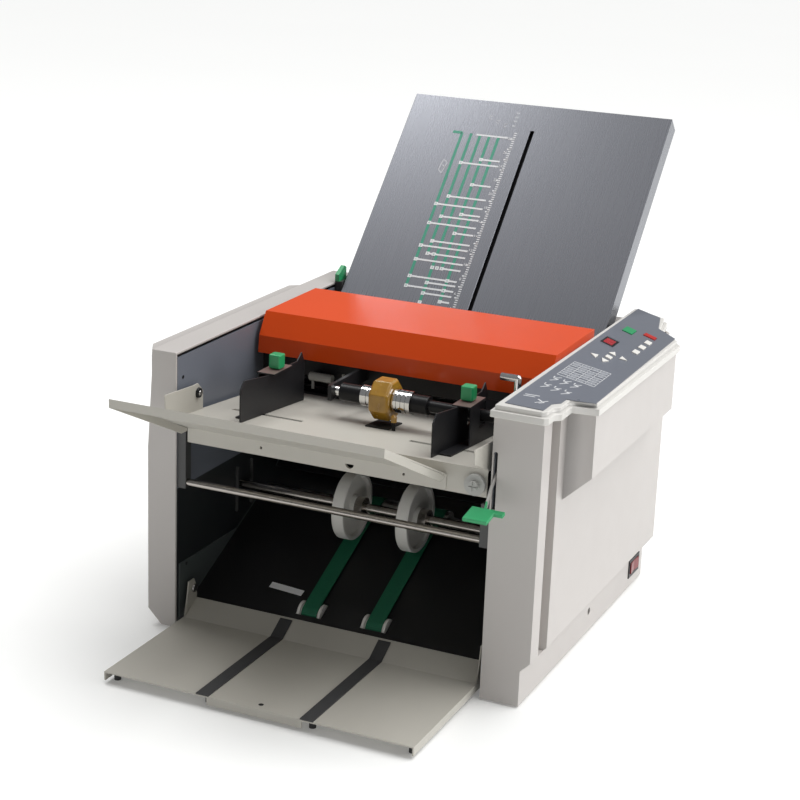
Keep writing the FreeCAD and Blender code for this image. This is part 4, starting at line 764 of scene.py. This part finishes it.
class FOLDER_OT_guides(PieceOperator, bpy.types.Operator):
    """Side guides with their clamps and green knobs"""
    bl_idname = "folder.guides"
    bl_label = "Side guides"

    def execute(self, context):
        edge = context.scene.folder_looks.sheet_round
        for side, sign in (("left", -1), ("right", 1)):
            rounded_skin("side_guide_" + side, edge, FINISHES["black"])
            rounded_skin("guide_knob_" + side, edge * 3, FINISHES["green"], 3)

            def clamp_top(shape):
                low, high = sorted((sign * 100.9, sign * 120.6))
                add_block(shape, at(low, 74.4, 276), at(high, 114.6, 276.05))

            drawn("clamp_top_" + side, clamp_top, "guide_" + side, "clamp")

        def mark(shape):
            add_block(shape, at(105.7, 90.4, 226), at(106, 91.8, 236))

        drawn("guide_mark", mark, "guide_right", "print_white")
        return {"FINISHED"}


class FOLDER_OT_feed(PieceOperator, bpy.types.Operator):
    """Feed shaft with its tyre and sleeves"""
    bl_idname = "folder.feed"
    bl_label = "Feed shaft"

    def execute(self, context):
        rounded_skin("feed_tyre", 0.9 * MM, FINISHES["amber"], 3)
        rounded_skin("feed_sleeves", 0.8 * MM, FINISHES["black_plastic"])
        return {"FINISHED"}


class FOLDER_OT_wheels(PieceOperator, bpy.types.Operator):
    """Delivery wheels over the stacker belts"""
    bl_idname = "folder.wheels"
    bl_label = "Delivery wheels"

    def execute(self, context):
        rounded_skin("delivery_wheels", 1.2 * MM, FINISHES["white"], 3)
        return {"FINISHED"}


class FOLDER_OT_roller_cover(PieceOperator, bpy.types.Operator):
    """Orange cover over the fold rollers"""
    bl_idname = "folder.roller_cover"
    bl_label = "Roller cover"

    def execute(self, context):
        rounded_skin("roller_cover", 0.7 * MM, FINISHES["orange"], 3)
        return {"FINISHED"}


# Where the lever's green pad ends, in millimetres behind the front.
LEVER_PAD_Y = -17.5


class FOLDER_OT_levers(PieceOperator, bpy.types.Operator):
    """Table lever and plate lock lever"""
    bl_idname = "folder.levers"
    bl_label = "Levers"

    def execute(self, context):
        green = tuple(context.scene.folder_looks.green_colour)
        pad = two_colours("lever_two_tone", green, (0.40, 0.39, 0.37), 1, at(0, LEVER_PAD_Y, 0).y,
                       Coat_Weight=0.15)
        rounded_skin("table_lever", 0.9 * MM, pad, 3)
        rounded_skin("plate_lock_lever", 0.9 * MM, FINISHES["green"], 3)
        return {"FINISHED"}


class FOLDER_OT_keys(PieceOperator, bpy.types.Operator):
    """Keys of the control panel and the power switch"""
    bl_idname = "folder.keys"
    bl_label = "Keys"

    def execute(self, context):
        for name in sorted(frame["nodes"]):
            if name.startswith("key_"):
                finish = {"key_start": "green", "key_stop": "red"}.get(name, "white")
                rounded_skin(name, 0.6 * MM, FINISHES[finish], 3)
        rounded_skin("power_rocker", 0.6 * MM, FINISHES["dark_red"], 3)
        return {"FINISHED"}


# The chart, in millimetres right of the fold plate's middle and down from its top edge:
# each column's place and foot, each level line's left end and place, and the numbered signs.
COLUMN_TOP = 50
COLUMNS = ((-87, 270), (-75, 224), (-63, 290), (-51, 243), (-39, 285))
LEVEL_END = -27
LEVELS = (
    (-68, 50.9), (-51, 85.7), (-75, 93), (-51, 122.4), (-75, 142), (-87, 154.4), (-51, 165.2),
    (-75, 171), (-87, 181.7), (-51, 192), (-75, 206), (-87, 213.7), (-75, 223.5), (-87, 233),
    (-51, 241.5), (-87, 256.5), (-63, 262.5), (-87, 270), (-63, 277), (-39, 285.2),
)
LOOSE_SIGNS = ((-67, 223.5), (-63, 241.5), (-57, 241.5), (-39, 256.5), (-39, 270), (-63, 289.5))
SIGN_PLACES = LEVELS[1:] + LOOSE_SIGNS
SCALE_X = -19.5
SCALE_FOOT = 292


def plate_stroke(shape, start, end, width, lift=PRINT_LIFT):
    """Printed line on the fold plate: points in millimetres, right of its middle and down."""
    start, end = [(x * MM, -y * MM) for x, y in (start, end)]
    add_stroke(shape, start, end, width * MM, lift, plate_face())


class FOLDER_OT_fold_plates(PieceOperator, bpy.types.Operator):
    """Fold plates with the printed setting chart"""
    bl_idname = "folder.fold_plates"
    bl_label = "Fold plates"

    def execute(self, context):
        edge = context.scene.folder_looks.sheet_round
        rounded_skin("fold_plate_upper", edge, FINISHES["plate"])
        rounded_skin("fold_plate_lower", edge, FINISHES["plate"])
        self.print_chart()
        self.print_scale()

        def slot_shade(shape):
            depth = Matrix.Translation((0, 0, -6.5 * MM))
            add_stroke(shape, (0, -34 * MM), (0, -340 * MM), 18 * MM, 0.1 * MM,
                       plate_face() @ depth)

        drawn("slot_shade", slot_shade, "chassis", "black_plastic")
        return {"FINISHED"}

    def print_chart(self):
        """Columns, level lines with their numbered signs, and headings."""
        def columns(shape):
            for x, foot in COLUMNS:
                plate_stroke(shape, (x, COLUMN_TOP), (x, foot), 3.5)
            corner = COLUMNS[0][0]
            plate_stroke(shape, (corner - 12, COLUMN_TOP), (corner, COLUMN_TOP), 3.6)

        def levels(shape):
            for x, level in LEVELS:
                plate_stroke(shape, (x, level), (LEVEL_END, level), 2.3, PRINT_LIFT * 1.6)
            for x, level in SIGN_PLACES:
                plate_stroke(shape, (x - 2.3, level), (x + 2.3, level), 4.6, PRINT_LIFT * 2)

        drawn("chart_columns", columns, "chassis", "print_teal")
        drawn("chart_levels", levels, "chassis", "print_white")
        numbers = []
        for index, (x, level) in enumerate(SIGN_PLACES):
            place = plate_face() @ Matrix.Translation((x * MM, -level * MM, PRINT_LIFT * 2))
            numbers.append(add_text(str(index % 9 + 1), 3.2 * MM, place, PRINT_LIFT))
        new_piece("chart_numbers", joined_mesh(numbers), "chassis", FINISHES["print_teal"])

        def headings(shape):
            for x, y in ((-60, 22), (-49, 27), (-38, 31)):
                plate_stroke(shape, (x, y), (x + 5, y), 1.2)
                plate_stroke(shape, (x, y + 3), (x + 4, y + 5), 1.2)
            for y in (14, 20, 26, 33):
                plate_stroke(shape, (-27, y), (-23, y), 2.4)
            sheet = ((-98, 91), (-92, 95), (-95, 111), (-100, 106), (-98, 91))
            for start, end in zip(sheet, sheet[1:]):
                plate_stroke(shape, start, end, 1.6)
            plate_stroke(shape, (-97, 99), (-93, 102), 1.6)

        drawn("chart_headings", headings, "chassis", "print_grey_light")

    def print_scale(self):
        """Fine and coarse ticks beside the slot, with plain numbers."""
        face = plate_face()
        white = FINISHES["print_white"]
        slot = SLOT_OF["fold_plate_upper"]
        tree = row_tree(white)
        fine = face @ Matrix.Translation((SCALE_X * MM, -SCALE_FOOT * MM, PRINT_LIFT / 2))
        grown("scale_fine", tree, white, "chassis", slot, fine,
              Count=84, Pitch=3 * MM, Length=3.4 * MM, Width=1.3 * MM, Height=PRINT_LIFT)
        coarse = face @ Matrix.Translation(((SCALE_X - 1) * MM, -SCALE_FOOT * MM, PRINT_LIFT / 2))
        grown("scale_coarse", tree, white, "chassis", slot, coarse,
              Count=17, Pitch=15 * MM, Length=5.4 * MM, Width=1.9 * MM, Height=PRINT_LIFT)
        numbers = []
        for index in range(13):
            spot = Vector(((SCALE_X - 4.6) * MM, (index * 20 - SCALE_FOOT) * MM, PRINT_LIFT))
            place = face @ Matrix.Translation(spot)
            numbers.append(add_text(str(2 * index + 4), 5 * MM, place, PRINT_LIFT))
        new_piece("scale_numbers", joined_mesh(numbers), "chassis", white)


# The panel's print, in millimetres right of and behind the origin.
DISPLAY_MIDDLE = 197.2
DISPLAY_SLANT = 0.85
TABLE_LEFT = 191
TABLE_FOOT = 128
TABLE_ROWS = 8
TABLE_COLUMNS = 4
ROW_PITCH = 6.6
COLUMN_PITCH = 11.75
FOLD_SIGNS = ((196, 108), (209, 101), (222, 95), (196, 82), (209, 75), (222, 69))


def film_path(shape, points, width, lift=0.1):
    """Printed line on the panel through points; all in millimetres."""
    points = [[v * MM for v in point] for point in points]
    for start, end in zip(points, points[1:]):
        add_stroke(shape, start, end, width * MM, lift * MM, film_face())


def slanted(x, y):
    """Point of the settings table carried down along the panel's slant."""
    return (x, y - (x - 190) * 0.5)


def slanted_block(shape, low, high):
    """Box on the panel between two corners in millimetres, its front and back edges slanted."""
    verts = add_block(shape, [v * MM for v in low], [v * MM for v in high])
    for vert in verts:
        vert.co.y -= (vert.co.x - DISPLAY_MIDDLE * MM) * DISPLAY_SLANT
    bmesh.ops.transform(shape, matrix=film_face(), verts=verts)


class FOLDER_OT_panel(PieceOperator, bpy.types.Operator):
    """Printed signs, table of settings and display on the control panel"""
    bl_idname = "folder.panel"
    bl_label = "Control panel"

    def execute(self, context):
        right = TABLE_LEFT + TABLE_COLUMNS * COLUMN_PITCH
        top = TABLE_FOOT + TABLE_ROWS * ROW_PITCH

        def table(shape):
            for row in range(TABLE_ROWS + 1):
                y = TABLE_FOOT + row * ROW_PITCH
                film_path(shape, [slanted(TABLE_LEFT, y), slanted(right, y)], 0.9)
            for column in range(TABLE_COLUMNS + 1):
                x = TABLE_LEFT + column * COLUMN_PITCH
                film_path(shape, [slanted(x, TABLE_FOOT), slanted(x, top)], 0.5)

        def cells(shape):
            for row in range(TABLE_ROWS):
                for column in range(TABLE_COLUMNS):
                    if (row * 3 + column) % 5 == 0:
                        continue
                    x = TABLE_LEFT + 2 + column * COLUMN_PITCH
                    y = TABLE_FOOT + ROW_PITCH / 2 + row * ROW_PITCH
                    film_path(shape, [slanted(x, y), slanted(x + 7, y)], 1.8, 0.08)

        def signs(shape):
            for index, (x, y) in enumerate(FOLD_SIGNS):
                fold = [(x - 4, y - 5), (x + 3, y + 1), (x - 3, y + 4), (x + 4, y + 9 - index)]
                film_path(shape, fold, 1.4)
                film_path(shape, [(x - 4, y + 6), (x - 4, y + 11)], 1.1)
            film_path(shape, [(188, 46), (203, 46)], 1.6)
            film_path(shape, [(188, 41), (200, 41)], 1.4)
            film_path(shape, [(205, 36), (214, 28), (210, 24)], 1.4)
            film_path(shape, [(206, 24), (216, 34)], 1.2)

        drawn("panel_table", table, "chassis", "print_white")
        drawn("panel_cells", cells, "chassis", "print_grey")
        drawn("panel_signs", signs, "chassis", "print_white")

        def window(shape):
            slanted_block(shape, (187.5, 263, 0), (207, 286, 0.25))

        def digits(shape):
            slanted_block(shape, (190.5, 266, 0.25), (204, 282, 0.4))

        drawn("display_frame", window, "chassis", "black_plastic")
        drawn("display_digits", digits, "chassis", "display")
        return {"FINISHED"}


def add_pair(shape, place, radius, depth, sides, top=None):
    """Two equal heads facing each other from the left and right walls; all in millimetres."""
    x, y, z = place
    top = radius if top is None else top
    for sign in (-1, 1):
        add_disc(shape, at(sign * x, y, z), (-sign, 0, 0), radius * MM, depth * MM, sides,
                 top * MM)


class FOLDER_OT_fasteners(PieceOperator, bpy.types.Operator):
    """Small screws on the walls, table pivots and tray hinges"""
    bl_idname = "folder.fasteners"
    bl_label = "Fasteners"

    def execute(self, context):
        def wall_plugs(shape):
            for x, y, z in ((175, 14, 277), (173.5, 20, 69)):
                add_pair(shape, (x, y, z), 1.9, 0.3, 24)

        def pivot_heads(shape):
            add_pair(shape, (168.5, 34, 256), 5.6, 2.4, 40, 5)

        def pivot_caps(shape):
            add_pair(shape, (166.1, 34, 256), 2.6, 0.8, 32, 2)

        def hinge_heads(shape):
            add_pair(shape, (167.4, 26.3, 39.7), 4.6, 1.8, 32, 4)

        drawn("wall_plugs", wall_plugs, "chassis", "black_plastic")
        drawn("table_pivot_heads", pivot_heads, "table", "black_plastic")
        drawn("table_pivot_caps", pivot_caps, "table", "steel")
        drawn("tray_hinge_heads", hinge_heads, "tray", "steel")
        return {"FINISHED"}


def aimed(name, light, direction):
    """A lamp in the scene that shines along a direction."""
    holder = linked(name, light)
    holder.rotation_mode = "QUATERNION"
    holder.rotation_quaternion = Vector(direction).to_track_quat("-Z", "Y")
    return holder


def area_light(name, place, target, size, power):
    """A square soft lamp aimed at a point."""
    light = bpy.data.lights.new(name, "AREA")
    light.shape = "SQUARE"
    light.size = size
    light.energy = power
    aimed(name, light, Vector(target) - Vector(place)).location = place


FLOOR_HALF = 30
FLOOR_CORNERS = ((-FLOOR_HALF, -FLOOR_HALF), (FLOOR_HALF, -FLOOR_HALF),
                 (FLOOR_HALF, FLOOR_HALF), (-FLOOR_HALF, FLOOR_HALF))
SENSOR_WIDTH = 36


class FOLDER_OT_stage(PieceOperator, bpy.types.Operator):
    """Pale floor, soft lights and the camera"""
    bl_idname = "folder.stage"
    bl_label = "Stage"

    def execute(self, context):
        stage = context.scene.folder_stage
        finish = Finish("studio_floor", tuple(stage.floor_colour), 0.65,
                        Emission_Color=(1, 1, 1, 1), Emission_Strength=0.13)
        finish.mottle(tuple(stage.floor_colour), 0.01, 1.5)

        def floor(shape):
            shape.faces.new([shape.verts.new((x, y, 0)) for x, y in FLOOR_CORNERS])

        ground = linked("studio_floor", mesh_of(floor))
        coat(ground.data, finish.material)

        world = bpy.data.worlds.new("studio")
        context.scene.world = world
        world.use_nodes = True
        sky = world.node_tree.nodes["Background"]
        sky.inputs["Color"].default_value = (1, 1, 1, 1)
        sky.inputs["Strength"].default_value = stage.world_strength
        sun = bpy.data.lights.new("ceiling", "SUN")
        sun.energy = stage.ceiling_strength
        sun.angle = math.radians(60)
        aimed("ceiling", sun, (-0.34, -0.26, -1))
        area_light("side_light", (2.8, 0.5, 1.1), (CAD_LOW + CAD_HIGH) / 2, 1.6, 30)
        area_light("plate_light", (-1.5, 0.35, 2.9), (-0.15, 0.34, 0.5), 0.9, 26)

        camera = bpy.data.cameras.new("camera")
        camera.lens = stage.lens
        camera.sensor_width = SENSOR_WIDTH
        holder = linked("camera", camera)
        context.scene.camera = holder
        turn = Matrix.Rotation(stage.camera_azimuth, 3, "Z")
        tilt = Matrix.Rotation(math.pi / 2 - stage.camera_elevation, 3, "X")
        roll = Matrix.Rotation(stage.camera_roll, 3, "Z")
        holder.rotation_mode = "QUATERNION"
        holder.rotation_quaternion = (turn @ tilt @ roll).to_quaternion()
        holder.location = stage.camera_place
        context.scene.view_settings.view_transform = "Standard"
        return {"FINISHED"}


class FOLDER_PT_panel(bpy.types.Panel):
    """Sidebar panel with every setting and step"""
    bl_idname = "FOLDER_PT_panel"
    bl_label = "Paper folding machine"
    bl_space_type = "VIEW_3D"
    bl_region_type = "UI"
    bl_category = "Folder"

    def draw(self, context):
        layout = self.layout
        for settings in (context.scene.folder_looks, context.scene.folder_stage):
            for key in settings.bl_rna.properties.keys():
                if key not in ("rna_type", "name"):
                    layout.prop(settings, key)
        for operator in OPERATORS:
            layout.operator(operator.bl_idname)


OPERATORS = (
    FOLDER_OT_finishes,
    FOLDER_OT_covers,
    FOLDER_OT_frames,
    FOLDER_OT_tray,
    FOLDER_OT_table,
    FOLDER_OT_guides,
    FOLDER_OT_feed,
    FOLDER_OT_wheels,
    FOLDER_OT_roller_cover,
    FOLDER_OT_levers,
    FOLDER_OT_keys,
    FOLDER_OT_fold_plates,
    FOLDER_OT_panel,
    FOLDER_OT_fasteners,
    FOLDER_OT_stage,
)
CLASSES = (LooksSettings, StageSettings, *OPERATORS, FOLDER_PT_panel)


def register():
    for cls in CLASSES:
        bpy.utils.register_class(cls)
    bpy.types.Scene.folder_looks = bpy.props.PointerProperty(type=LooksSettings)
    bpy.types.Scene.folder_stage = bpy.props.PointerProperty(type=StageSettings)


def unregister():
    del bpy.types.Scene.folder_stage
    del bpy.types.Scene.folder_looks
    for cls in reversed(CLASSES):
        bpy.utils.unregister_class(cls)


def main():
    register()
    for operator in OPERATORS:
        group, name = operator.bl_idname.split(".")
        getattr(getattr(bpy.ops, group), name)()


if __name__ == "__main__":
    main()
